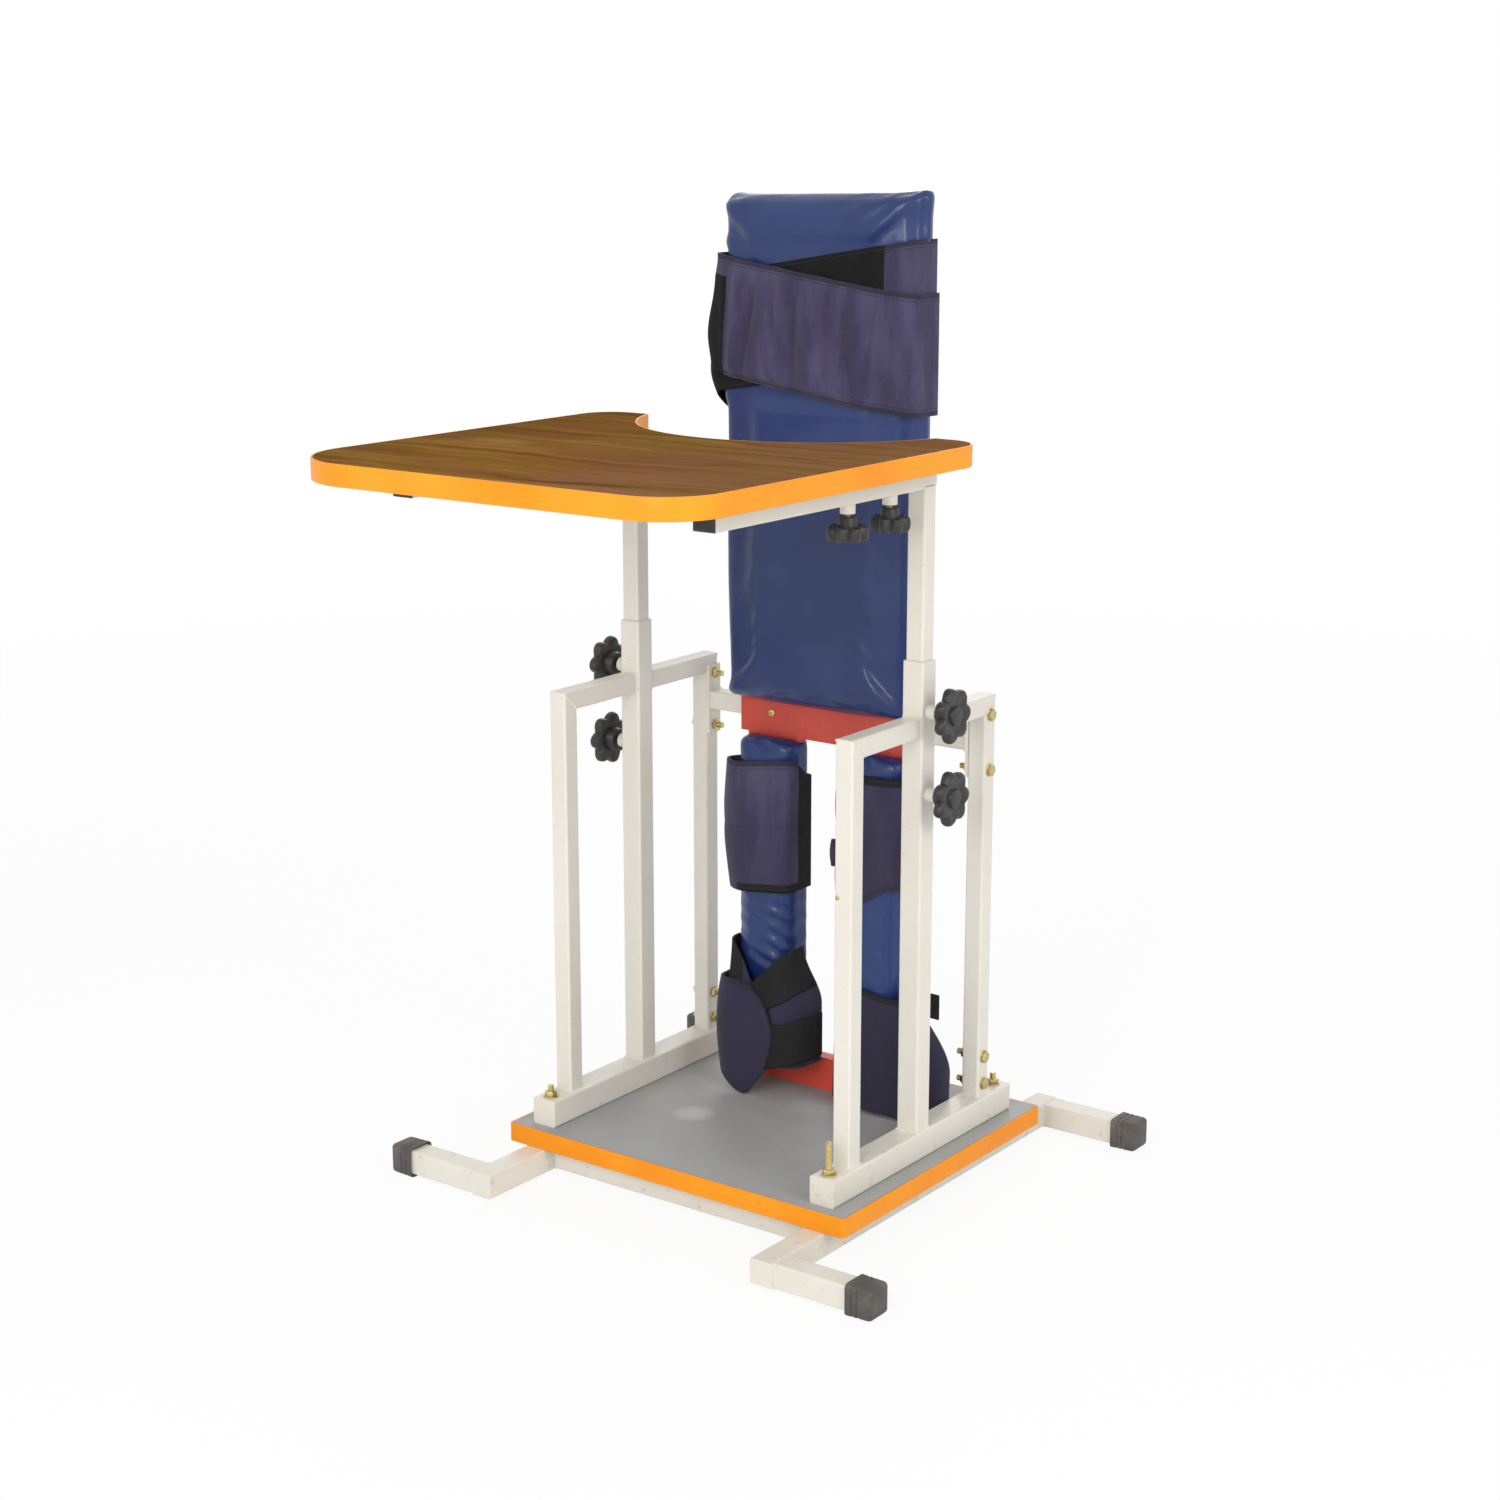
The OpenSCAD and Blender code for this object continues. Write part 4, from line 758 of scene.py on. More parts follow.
amber_edging = edging_finish(
    "amber_edging", colour=(0.92, 0.29, 0.008), bright=(0.97, 0.36, 0.018),
    grime=(0.45, 0.17, 0.02),
)
bm = edging("tray_edging", 0.0013, "tray_laminate", lip_wide=0.0036, lip_high=0.0009)
make_piece("tray_rim_edging", bm, amber_edging, "tray", ["tray_edging"], 40)

# Back board: one sheet of 14 mm plywood sawn to the trunk and two legs, painted red. It
# shows at the hip, at the feet and behind. Screws hold it to the cross tube at the hip
# and to the foot brackets.
red_light, red_dark, red_streak = (0.58, 0.064, 0.040), (0.49, 0.050, 0.033), (0.62, 0.100, 0.062)
red_ply, lit_red_low, scar_brown = (0.36, 0.05, 0.035), (0.86, 0.095, 0.055), (0.42, 0.22, 0.12)
ply_thick, red_lit_from, red_lit_to = 0.0014, 0.15, 0.4
red_paint, shader, at = new_finish("red_paint", Roughness=0.42)
tone = at.cloud(12.0, 4.0)
streaks = at.stretched(160, 160, 6).cloud(1.0, 4.0)
facing = at.node("NewGeometry", {}, {}, 1).axis(1)
edge = facing.maths("ABSOLUTE", facing).fall(0.4, 0.6)
plies = at.axis(1).maths("PINGPONG", at.axis(1), ply_thick).rise(0.0004, 0.0010)
scars = at.cloud(90.0, 5.0, 0.6).rise(0.66, 0.72)
tone.rise(0.3, 0.7).between(red_light, red_dark).under(
    (streaks.rise(0.55, 0.75) * 0.35, red_streak),
    (edge * plies * 0.55, red_ply),
    # Painted light: the board is painted brighter red towards its foot, where it stands in shade.
    (at.axis(2).fall(red_lit_from, red_lit_to) * 0.7, lit_red_low),
    (scars * 0.4, scar_brown),
).into(shader["Base Color"])
(0.34 + tone * 0.18).into(shader["Roughness"])
(streaks * 0.6 - edge * plies * 0.5).bump(0.0005, 0.4).into(shader["Normal"])
coat(red_paint, "back_board")

hip_screw_x, bracket_x, bracket_thick, bracket_screw = 0.088, 0.085, 0.003, 0.62
screws_low, screws_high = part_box("back_board_screws")
bracket_low, bracket_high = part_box("foot_brackets")
along_bracket = bracket_low.lerp(bracket_high, bracket_screw)
on_bracket = bracket_low + Vector((0, bracket_thick, bracket_thick))
bm = bmesh.new()
for side in (-1, 1):
    hip = (side * hip_screw_x, screws_low.y + screw_high, screws_high.z - screw_half)
    screw_head(bm, along(hip, (0, -1, 0)))
    x = side * bracket_x
    screw_head(bm, along((x, on_bracket.y, along_bracket.z), (0, 1, 0)))
    screw_head(bm, along((x, along_bracket.y, on_bracket.z), (0, 0, 1)))
make_piece("board_screw_heads", bm, gold_zinc, "frame", ["back_board_screws"], 35)

# A small plated rivet closes a drilled hole in the right front upright. It is pressed in
# from the front and rides on the frame.
rivet_x, rivet_z = 0.212, 0.438
rivet_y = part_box("front_upright_right")[0].y
bm = bmesh.new()
screw_head(bm, along((rivet_x, rivet_y, rivet_z), (0, -1, 0)), across=0.006, high=0.0014)
make_piece("upright_rivet", bm, gold_zinc, "frame", sharp=35)

# Pads: a thick trunk pad and two leg pads, foam glued to the board and covered with
# glossy blue vinyl, pulled round the edges of the board and stapled behind. The foam
# gives under the belts, and the slack vinyl of the shins lies in slanting creases.
vinyl_dark, vinyl_light = (0.009, 0.029, 0.128), (0.016, 0.040, 0.158)
vinyl_shade, vinyl_rubbed = (0.003, 0.012, 0.070), (0.026, 0.054, 0.178)
blue_vinyl, shader, at = new_finish(
    "blue_vinyl", Roughness=0.34, Specular_IOR_Level=0.30, Coat_Weight=0.3, Coat_Roughness=0.14,
)
tone = at.cloud(5.0, 3.0)
rubbed = at.cloud(14.0, 4.0)
hide = at.node("TexVoronoi", {"feature": "DISTANCE_TO_EDGE"}, {"Vector": at, "Scale": 520.0})
shade = at.axis(2).rise(0.56, 0.60) * at.axis(2).fall(0.86, 1.02)
tone.rise(0.3, 0.7).between(vinyl_dark, vinyl_light).under(
    (shade * 0.4, vinyl_shade), (rubbed.rise(0.5, 0.75) * 0.35, vinyl_rubbed),
).into(shader["Base Color"])
(0.23 + rubbed * 0.16).into(shader["Roughness"])
(hide.rise(0.0, 0.12) * 0.5 + at.cloud(18.0, 2.0) * 2.0).bump(0.0006, 0.3).into(shader["Normal"])
pad_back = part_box("trunk_pad")[1].y
board_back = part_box("back_board")[1].y
tuck_free, glue_reach, crease_free = 0.016, 0.018, 0.004
blow_steps, blow_pressure = 20, 4.0
pad_half, pad_deep, pad_mid_z, pad_foot, pad_high = 0.149, 0.0505, 0.920, 0.590, 0.660
pad_power, left_power, right_power = 5, 12, 6
leg_x, leg_half, leg_depth = 0.085, 0.048, 0.0465
cuff_low, cuff_high = 0.3305, 0.5050


def ease(share):
    """Runs from 0 to 1 with soft ends."""
    share = min(1.0, max(0.0, share))
    return share * share * (3 - 2 * share)


def within(value, low, high, soft):
    """1 between low and high, falling softly to 0 outside them."""
    return ease((value - low) / soft + 0.5) * ease((high - value) / soft + 0.5)


def ripple(x, y, z):
    """Smooth noise at a point."""
    return noise.noise(Vector((x, y, z)))


def settled(piece):
    """A piece's mesh with its modifiers applied."""
    return bpy.data.meshes.new_from_object(
        piece.evaluated_get(bpy.context.evaluated_depsgraph_get())
    )


def blow_up(pad, back, swell):
    """Blows up a pad's skin like a cushion, glued at its back, by no more than swell allows."""
    skin = pad.data
    before = [v.co.copy() for v in skin.vertices]
    pinned = pad.vertex_groups.new(name="glued")
    pinned.add([v.index for v in skin.vertices if v.co.y > back - glue_reach], 1.0, "REPLACE")
    cloth = pad.modifiers.new("stuffing", "CLOTH")
    cloth.settings.use_pressure = True
    cloth.settings.uniform_pressure_force = blow_pressure
    cloth.settings.effector_weights.gravity = 0.0
    cloth.settings.vertex_group_mass = pinned.name
    cloth.point_cache.frame_start, cloth.point_cache.frame_end = 1, blow_steps
    for step in range(1, blow_steps + 1):
        scene.frame_set(step)
    blown = settled(pad)
    for vert, first, last in zip(skin.vertices, before, blown.vertices):
        move = last.co - first
        vert.co = first + move * min(1.0, swell(first) / max(move.length, 1e-9))
    pad.modifiers.remove(cloth)
    pad.vertex_groups.clear()
    bpy.data.meshes.remove(blown)
    scene.frame_set(1)


def upholster(name, source, voxel, swell, crease, fill=None, tuck=0.003):
    """Stuffs a pad: a tucked copy of its solid is remeshed, blown up, creased and filled out."""
    start = bpy.data.objects.new(name + "_start", node[source].data.copy())
    scene.collection.objects.link(start)
    back = max(v.co.y for v in start.data.vertices)
    bm = bmesh.new()
    bm.from_mesh(start.data)
    bmesh.ops.remove_doubles(bm, verts=bm.verts, dist=1e-6)
    bm.normal_update()
    for vert in bm.verts:
        if vert.co.y < back - tuck_free:
            vert.co -= vert.normal * tuck
    bm.to_mesh(start.data)
    bm.free()
    remesh = start.modifiers.new("skin", "REMESH")
    remesh.mode = "VOXEL"
    remesh.voxel_size = voxel
    skin = settled(start)
    skin.name = name
    bpy.data.objects.remove(start)
    pad = bpy.data.objects.new(name, skin)
    scene.collection.objects.link(pad)
    blow_up(pad, back, swell)
    for vert, turn in zip(skin.vertices, [v.vector.copy() for v in skin.vertex_normals]):
        if vert.co.y < back - crease_free:
            vert.co += turn * crease(vert.co)
        if fill:
            vert.co = fill(vert.co)
    skin.shade_smooth()
    skin.materials.clear()
    skin.materials.append(blue_vinyl)
    smooth = pad.modifiers.new("smooth", "SUBSURF")
    smooth.levels = smooth.render_levels = 1
    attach(pad, "frame")
    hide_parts(source)


def corner_shares(x):
    """How near the right and the left front corner of the trunk pad a place is."""
    return ease((x - 0.095) / 0.03), ease((-x - 0.105) / 0.035)


def near_board(y):
    """0 to 1 over the last 12 mm of a pad before the board, where its cover is drawn in."""
    return ease((y - pad_back) / 0.012 + 1)


def trunk_swell(co):
    """The foam swells by 5 mm, and by 2 mm where the chest bands press on it."""
    return 0.005 - 0.003 * within(co.z, 0.985, 1.195, 0.02)


def trunk_crease(co):
    """Slow waves of the foam, and the dents of the bands round its edges."""
    wave_deep, dent_deep, dent_top, dent_soft, left_share = 0.0011, 0.0055, 1.185, 0.022, 0.9
    dent_low = 0.995 - 0.08 * (co.x - 0.14)
    right, left = corner_shares(co.x)
    dent = within(co.z, dent_low, dent_top, dent_soft) * (right + left_share * left)
    return wave_deep * ripple(co.x * 9, co.y * 9, co.z * 6) - dent_deep * dent


def trunk_fill(co):
    """Foam fills the section, most at the left front corner, and the cover's top is sewn askew."""
    wider, deeper, drawn_in = 1.0135, 1.08, 0.018
    askew, lowered, corner_x, corner_z, squareness = 0.0048, 0.0008, 0.110, 0.290, 0.28
    across, forward = abs(co.x) / pad_half, max(0.0, pad_back - co.y) / pad_deep

    def length(power):
        return (across ** power + forward ** power) ** (1 / power) + 1e-9

    full = length(pad_power) / length(left_power if co.x < 0 else right_power)
    x, y = co.x * full * wider, pad_back - (pad_back - co.y) * full * deeper
    x *= 1 - drawn_in * near_board(y)
    z = co.z + (askew * x / pad_half - lowered) * ease((co.z - 1.10) / 0.12)
    wide, high = max(0.0, abs(x) - corner_x), max(0.0, abs(co.z - pad_mid_z) - corner_z)
    if wide and high:
        square = squareness * (math.hypot(wide, high) / (wide ** 6 + high ** 6) ** (1 / 6) - 1)
        x += math.copysign(wide * square, x)
        z += math.copysign(high * square, co.z - pad_mid_z)
    return Vector((x, y, z))


def leg_swell(co):
    """The shins swell by 4.5 mm, and less under the knee cuffs and ankle wraps."""
    held = max(within(co.z, cuff_low, cuff_high, 0.016), 1 - ease((co.z - 0.20) / 0.04))
    return 0.0045 - 0.003 * held


def leg_crease(co):
    """Slanting creases in the slack vinyl between the knee cuff and the ankle."""
    crease_gap, slant, drift, sharpness, level = 0.0215, 0.40, 0.017, 1.6, 0.55
    deep, deep_varies, wave_deep, right_share = 0.0034, 0.0022, 0.0007, 0.12
    across = (abs(co.x) - leg_x) * math.copysign(1, co.x) / leg_half
    slack = within(co.z, 0.222, 0.322, 0.03) * (0.35 + 0.65 * ease((across + 0.7) / 0.9))
    slack *= 1 if co.x < 0 else right_share
    run = co.z + slant * co.x + drift * ripple(co.x * 14, co.y * 14, co.z * 9)
    ridge = (0.5 + 0.5 * math.cos(math.tau * run / crease_gap)) ** sharpness - level
    high = deep + deep_varies * ripple(co.x * 30, 2.0, co.z * 40)
    return slack * high * ridge + wave_deep * ripple(co.x * 16, co.y * 16, co.z * 10)


upholster("trunk_cushion", "trunk_pad", 0.006, trunk_swell, trunk_crease, trunk_fill, tuck=0.001)
for end in ("left", "right"):
    upholster("leg_cushion_" + end, "leg_pad_" + end, 0.005, leg_swell, leg_crease)

# Chest bands: two wide belts of quilted purple cloth with bound edges, crossing on the
# chest. The inner one is faced with black fleece for the hook patch of the outer one.
# Both bulge from the left side on black webbing and are screwed to the board behind.
stitch_long, thread_half, bind_wide, bind_soft = 0.0021, 0.0009, 0.0062, 0.0006


def sewn(at, stitches):
    """Masks that follow a sheet's own edges: its binding, and a row of stitches inside it."""
    rim = at.node("Attribute", {"attribute_name": "edge"}, {}, 2)
    dash = at.axis(0).maths("PINGPONG", at.axis(0), stitch_long).rise(0.0005, 0.0009)
    thread = (rim - stitches).maths("ABSOLUTE", rim - stitches).fall(0.0004, thread_half)
    return rim.fall(bind_wide - bind_soft, bind_wide), thread * dash


purple_dark, purple_light = (0.046, 0.040, 0.092), (0.066, 0.058, 0.122)
faded_lit_purple, deep_shaded_purple = (0.098, 0.088, 0.168), (0.034, 0.030, 0.064)
fuzz_pale, weave_dark = (0.090, 0.080, 0.150), (0.032, 0.028, 0.062)
low_shade_purple, upright_shadow_purple = (0.032, 0.029, 0.059), (0.026, 0.023, 0.045)
binding, purple_thread = (0.026, 0.023, 0.038), (0.021, 0.018, 0.036)
purple_cloth, shader, at = new_finish(
    "purple_cloth", uv=True, Roughness=0.85, Specular_IOR_Level=0.2, Sheen_Weight=0.12,
    Sheen_Roughness=0.5,
)
body_at = at.node("TexCoord", {}, {}, 3)
tone = body_at.cloud(16.0, 4.0)
fuzz = body_at.cloud(420.0, 3.0)
weave = at.waves("X", 160.0, 1.0) * 0.5 + at.waves("Y", 160.0, 1.0) * 0.5
bound, thread = sewn(at, stitches=0.0090)
# Upright streaks of lighter and deeper purple: a mottled, faded nap, and painted light and shade
# standing in for the shading of the folds, which the frontal lamps leave flat.
faded = body_at.stretched(34, 34, 9).cloud(1.0, 3.0)
# Painted shadow: the cloth right of the middle and below knee height is darkened, as if the right
# front upright shaded it.
upright_shadow_mask = body_at.axis(0).rise(0.02, 0.05) * body_at.axis(2).fall(0.55, 0.8)
tone.rise(0.3, 0.7).between(purple_dark, purple_light).under(
    (faded.rise(0.46, 0.66) * 0.75, faded_lit_purple),
    (faded.fall(0.35, 0.49) * 0.65, deep_shaded_purple),
    (fuzz.rise(0.45, 0.75) * 0.4, fuzz_pale),
    ((1 - weave) * 0.35, weave_dark),
    # Painted shade: the cloth is darkened from half a metre up down to the ankles.
    (body_at.axis(2).fall(0.18, 0.50), low_shade_purple),
    (upright_shadow_mask * 0.6, upright_shadow_purple),
    (bound * 0.85, binding),
    (thread * 0.7, purple_thread),
).into(shader["Base Color"])
(0.78 + fuzz * 0.15).into(shader["Roughness"])
(weave + fuzz * 0.6 + bound * 1.6 - thread * 2.0).bump(0.0006, 0.5).into(shader["Normal"])

rib_black, rib_light = (0.007, 0.007, 0.007), (0.018, 0.018, 0.018)
lint_grey, low_grey = (0.050, 0.048, 0.050), (0.036, 0.036, 0.038)
grey_thread = (0.045, 0.044, 0.046)
black_webbing, shader, at = new_finish(
    "black_webbing", uv=True, Roughness=0.8, Specular_IOR_Level=0.1,
)
body_at = at.node("TexCoord", {}, {}, 3)
lint = body_at.cloud(300.0, 4.0)
ribs, picks = at.waves("Y", 110.0, 0.6), at.waves("X", 190.0, 0.6)
thread = sewn(at, stitches=0.0045)[1]
(ribs * 0.6 + picks * 0.4).between(rib_black, rib_light).under(
    (lint.rise(0.6, 0.75) * 0.3, lint_grey),
    (body_at.axis(2).fall(0.3, 0.9) * 0.4, low_grey),
    (thread * 0.5, grey_thread),
).into(shader["Base Color"])
(0.7 + lint * 0.2).into(shader["Roughness"])
(ribs * 0.8 + picks * 0.3 - thread).bump(0.0006, 0.5).into(shader["Normal"])
belt_turn, plan_steps, turn_steps = 0.0025, 320, 8


def oval(angle, power=pad_power):
    """The shares across and forward of a pad's rounded plan, from its left back to its right."""
    across = math.copysign(abs(math.cos(angle)) ** (2 / power), math.cos(angle))
    return across, abs(math.sin(angle)) ** (2 / power)


def round_pad(half, depth, tail, left=pad_power, right=pad_power):
    """The plan of a belt round a pad: behind it, along its left side, front and right side, and
    behind. The points are followed by their distances along it."""
    points = [(-half + belt_turn + tail, pad_back + belt_turn)]
    for step in range(turn_steps + 1):
        angle = math.pi / 2 * (1 + step / turn_steps)
        across, behind = belt_turn * math.cos(angle), belt_turn * math.sin(angle)
        points.append((-half + belt_turn + across, pad_back + behind))
    turn = points[turn_steps::-1]
    for step in range(1, plan_steps):
        power = left if step * 2 < plan_steps else right
        across, forward = oval(math.pi * (1 - step / plan_steps), power)
        points.append((half * across, pad_back - depth * forward))
    points += [(-x, y) for x, y in turn] + [(half - belt_turn - tail, pad_back + belt_turn)]
    points = [Vector(point) for point in points]
    lengths = [0.0]
    for first, last in zip(points, points[1:]):
        lengths.append(lengths[-1] + (last - first).length)
    return points, lengths


def walk(plan, share):
    """The point of a plan at a share of its length, and the way out from the pad there."""
    points, lengths = plan
    reach = share * lengths[-1]
    high = min(len(lengths) - 1, max(1, bisect.bisect_right(lengths, reach)))
    low = high - 1
    part = (reach - lengths[low]) / max(1e-9, lengths[high] - lengths[low])
    point = points[low].lerp(points[high], part)
    way = (points[min(high + 2, len(points) - 1)] - points[max(low - 2, 0)]).normalized()
    return point, Vector((way.y, -way.x))


def lay_cloth(name, cells, flat, place, thick, finishes, pick=None, nodes=(),
              shaped=True):
    """A sheet cut from a flat piece: place turns shares of its length and width into a point of
    its inner face, and pick chooses among its finishes."""
    bm = bmesh.new()
    bmesh.ops.create_grid(bm, x_segments=cells[0], y_segments=cells[1], size=0.5)
    uv = bm.loops.layers.uv.new("cut")
    rim = bm.verts.layers.float.new("edge")
    for face in bm.faces:
        middle = face.calc_center_median()
        face.material_index = pick(middle.x + 0.5, middle.y + 0.5) if pick else 0
        for loop in face.loops:
            share = loop.vert.co
            loop[uv].uv = ((share.x + 0.5) * flat[1], (share.y + 0.5) * flat[0])
    for vert in bm.verts:
        vert[rim] = (0.5 - abs(vert.co.y)) * flat[0]
        vert.co = place(vert.co.x + 0.5, vert.co.y + 0.5)
    cut = sum(face.calc_area() for face in bm.faces)
    mesh = bpy.data.meshes.new(name)
    bm.to_mesh(mesh)
    bm.free()
    mesh.shade_smooth()
    for finish in finishes:
        mesh.materials.append(finish)
    sheet = bpy.data.objects.new(name, mesh)
    scene.collection.objects.link(sheet)
    body = sheet.modifiers.new("thickness", "SOLIDIFY")
    body.thickness = thick
    body.offset = 1.0
    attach(sheet, "frame")
    if nodes:
        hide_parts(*nodes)
    area = min(cut, flat[0] * flat[1]) if shaped else None


chest_half, chest_depth, chest_off, chest_tail = 0.1502, 0.0540, 0.0008, 0.065
band_wide, band_thick, inner_gap, outer_gap = 0.150, 0.003, 0.0006, 0.0044
inner_mid, inner_drop, inner_sag = 1.096, -0.050, 0.034
outer_mid, outer_drop, outer_slant = 1.076, 0.042, 0.0237
fleece_end, facing_end, back_share, facing_top = 0.108, -0.1325, 0.8, 0.84
chest_plan = round_pad(
    chest_half + chest_off, chest_depth + chest_off, chest_tail, left_power, right_power,
)
chest_round = chest_plan[1][-1]


def chest_spot(u):
    """The plan point of a chest band, the way out, and its share of the pad's depth."""
    point, out = walk(chest_plan, u)
    return point, out, (pad_back - point.y) / chest_depth


def chest_place(middle_z, drop, gap, bulge, sag, crumple, slant=0.0):
    """Where a chest band lies: gap off the pad, bulging from its left side, pulled in at both
    corners and snug at the top of the left one."""
    bulge_end, bulge_lean, wave_deep, pressed, drawn_in = 0.97, 1.6, 0.0025, 0.0012, 0.03
    right_pull, left_pull, pull_from = 0.0062, 0.0045, 0.014
    slant_from, slant_to, slant_soft, sag_end = 0.19, 0.36, 0.14, 0.95
    waves_across, waves_up = math.radians(900), math.radians(1050)
    snug_from, snug_climb, snug_soft, snug_x, snug_wide = 0.58, 0.22, 0.16, 0.095, 0.04

    def place(u, v):
        slanted = slant * v * within(u, slant_from, slant_to, slant_soft)
        point, out, deep = chest_spot(u + slanted)
        share = max(-1.0, min(1.0, point.x / chest_half))
        front = max(0.0, -out.y)
        bulging = share < 0 and 0 < deep < bulge_end
        rise = math.sin(math.pi * (deep / bulge_end) ** bulge_lean) if bulging else 0.0
        z = middle_z - drop * share / 2 + band_wide * (v - 0.5)
        if share < 0:
            z -= sag * (1 - ease(deep / sag_end))
        wave = math.sin(waves_across * share + waves_up * (z - pad_foot) / pad_high)
        slow = wave_deep * math.sqrt(1 - share * share) * (0.5 + 0.5 * wave) * front
        right, left = corner_shares(point.x)
        pulled = (right_pull * right + left_pull * left) * ease((pad_back - point.y) / pull_from)
        away = gap + slow - pulled + crumple(point.x, z) * front
        snug = ease((v - snug_from - snug_climb * ease(deep / sag_end)) / snug_soft)
        snug *= ease((-point.x - snug_x) / snug_wide)
        away -= (away + pressed) * snug
        x, y = point.x + out.x * away - bulge(v) * rise * (1 - snug), point.y + out.y * away
        return Vector((x * (1 - drawn_in * near_board(y)), y, z))
    return place


def inner_bulge(v):
    """The inner band stands out most just above its lower edge."""
    return 0.008 + 0.012 * math.sin(math.pi * min(1.0, v / 0.45))


def outer_bulge(v):
    """The outer band stands out most at a third of its height."""
    return 0.0205 * ease((0.92 - v) / 0.62) * (1 - 0.33 * ease((0.3 - v) / 0.3))


def inner_crumple(x, z):
    """The step where the fleece ends."""
    return 0.0012 * ease((fleece_end - x) / 0.002)


# Each fold's place, lean, depth and width
outer_folds = (
    (-0.120, 0.10, 0.0058, 0.008), (-0.084, 0.24, 0.0098, 0.009), (-0.048, -0.12, 0.0076, 0.007),
    (-0.014, 0.08, 0.0090, 0.009), (0.022, -0.24, 0.0098, 0.010), (0.060, -0.16, 0.0050, 0.006),
)


def outer_crumple(x, z):
    """Upright folds of the slack band on its left two thirds, and its sewn seam near the right."""
    puff_high, fold_drift, fuzz_high, lift = 0.0084, 0.006, 0.0007, 0.0022
    seam_x, seam_lean, seam_half, seam_deep = 0.093, 0.13, 0.0024, 0.0016
    high = z - (outer_mid - outer_drop * x / chest_half / 2)
    from_left = ease((x + 0.150) / 0.035)
    puff = puff_high * (1 - ease((x - 0.055) / 0.04)) * within(high, -0.066, 0.066, 0.02)
    for spot, lean, deep, wide in outer_folds:
        drift = fold_drift * ripple(x * 8, z * 11, spot * 40)
        off = (x - spot - lean * high - drift) / wide
        reach = max(0.0, 0.62 + 0.6 * ripple(spot * 70, z * 16, 2.0))
        puff -= deep * math.exp(-off * off) * reach * within(high, -0.066, 0.068, 0.03)
    seam = (x - seam_x - seam_lean * high) / seam_half
    fuzz = fuzz_high * ripple(x * 34, z * 30, 1.0)
    return puff * from_left + lift - seam_deep * math.exp(-seam * seam) + fuzz


def inner_facing(u, v):
    """Black webbing past the facing's end on the left, and fleece as far as its end in front."""
    x = chest_spot(u)[0].x
    return int(x < facing_end or x < fleece_end and u < back_share)


def outer_facing(u, v):
    return int(chest_spot(u)[0].x < facing_end and v < facing_top)


quilted = (purple_cloth, black_webbing)
lay_cloth(
    "chest_belt_inner", (260, 30), (band_wide, chest_round),
    chest_place(inner_mid, inner_drop, inner_gap, inner_bulge, inner_sag, inner_crumple),
    band_thick, quilted, inner_facing, ["chest_band_inner"], shaped=False,
)
lay_cloth(
    "chest_belt_outer", (340, 36), (band_wide, chest_round),
    chest_place(outer_mid, outer_drop, outer_gap, outer_bulge, 0.0, outer_crumple, outer_slant),
    band_thick, quilted, outer_facing, ["chest_band_outer"], shaped=False,
)

# Knee cuffs: quilted purple cloth closed round each leg support with black hook and loop
# webbing, sewn across the middle, slack on the outer side and bound along the edges.
cuff_off, cuff_gap, cuff_thick, cuff_inset = 0.0006, 0.0004, 0.004, 0.006
cuff_rise, cuff_slack, cuff_tight, cuff_pillow, cuff_crush = 0.012, 0.018, 0.0022, 0.0052, 0.0011
cuff_drop, slack_end, foot_band, head_band = 0.026, 0.94, 0.065, 0.945
cuff_lift = {-1: 0.008, 1: 0.042}
cuff_plan = round_pad(leg_half + cuff_off, leg_depth + cuff_off, leg_half - cuff_inset)
cuff_round = cuff_plan[1][-1]


def cuff_place(side):
    """Where a cuff lies round its leg, pillowed in front and slack on the outer side."""
    def place(u, v):
        point, out = walk(cuff_plan, u)
        right = ease((point.x / leg_half + 1) / 2)
        deep = (pad_back - point.y) / leg_depth
        front = max(0.0, -out.y)
        low, high = cuff_low + cuff_lift[side] * right, cuff_high + cuff_rise
        if side < 0:
            high -= cuff_rise * (1 - right)
            high -= cuff_drop * (1 - ease(deep / 0.9)) * (point.x > 0)
        z = low + (high - low) * v
        outer = point.x * side > 0 and 0 < deep < slack_end
        rise = math.sin(math.pi * (deep / slack_end) ** 1.3) if outer else 0.0
        open_top = (0.45 + 0.55 * ease(v / 0.45)) * (1 - 0.25 * ease((v - 0.6) / 0.4))
        tight = cuff_tight if point.x * side < -leg_half * 0.9 else 0.0
        pillow = cuff_pillow * abs(math.sin(math.tau * v)) ** 0.55
        crush = cuff_crush * ripple(point.x * 24 + side, z * 26, 5.0)
        away = cuff_gap - tight + (pillow + crush) * front
        x = side * leg_x + point.x + out.x * away + side * cuff_slack * rise * open_top
        return Vector((x, point.y + out.y * away, z))
    return place


def cuff_pick(side):
    """Webbing on the right of each leg, along the left cuff's foot and the right one's head."""
    def pick(u, v):
        point = walk(cuff_plan, u)[0]
        black_foot = side < 0 and v < foot_band and point.x > -0.032
        black_head = side > 0 and v > head_band
        behind = (pad_back - point.y) / leg_depth < 0.62
        return int(black_foot or black_head or point.x > 0 and behind)
    return pick


for end, side in ends:
    lay_cloth(
        "knee_wrap_" + end, (150, 48), (cuff_high - cuff_low, cuff_round), cuff_place(side),
        cuff_thick, quilted, cuff_pick(side), ["knee_cuff_" + end],
    )

strap_wide, strap_long, loop_off, loop_half, loop_deep = 0.036, 0.0435, 0.0045, 0.0145, 0.012
loop_back, loop_z, loop_fall = 0.028, 0.386, 0.006


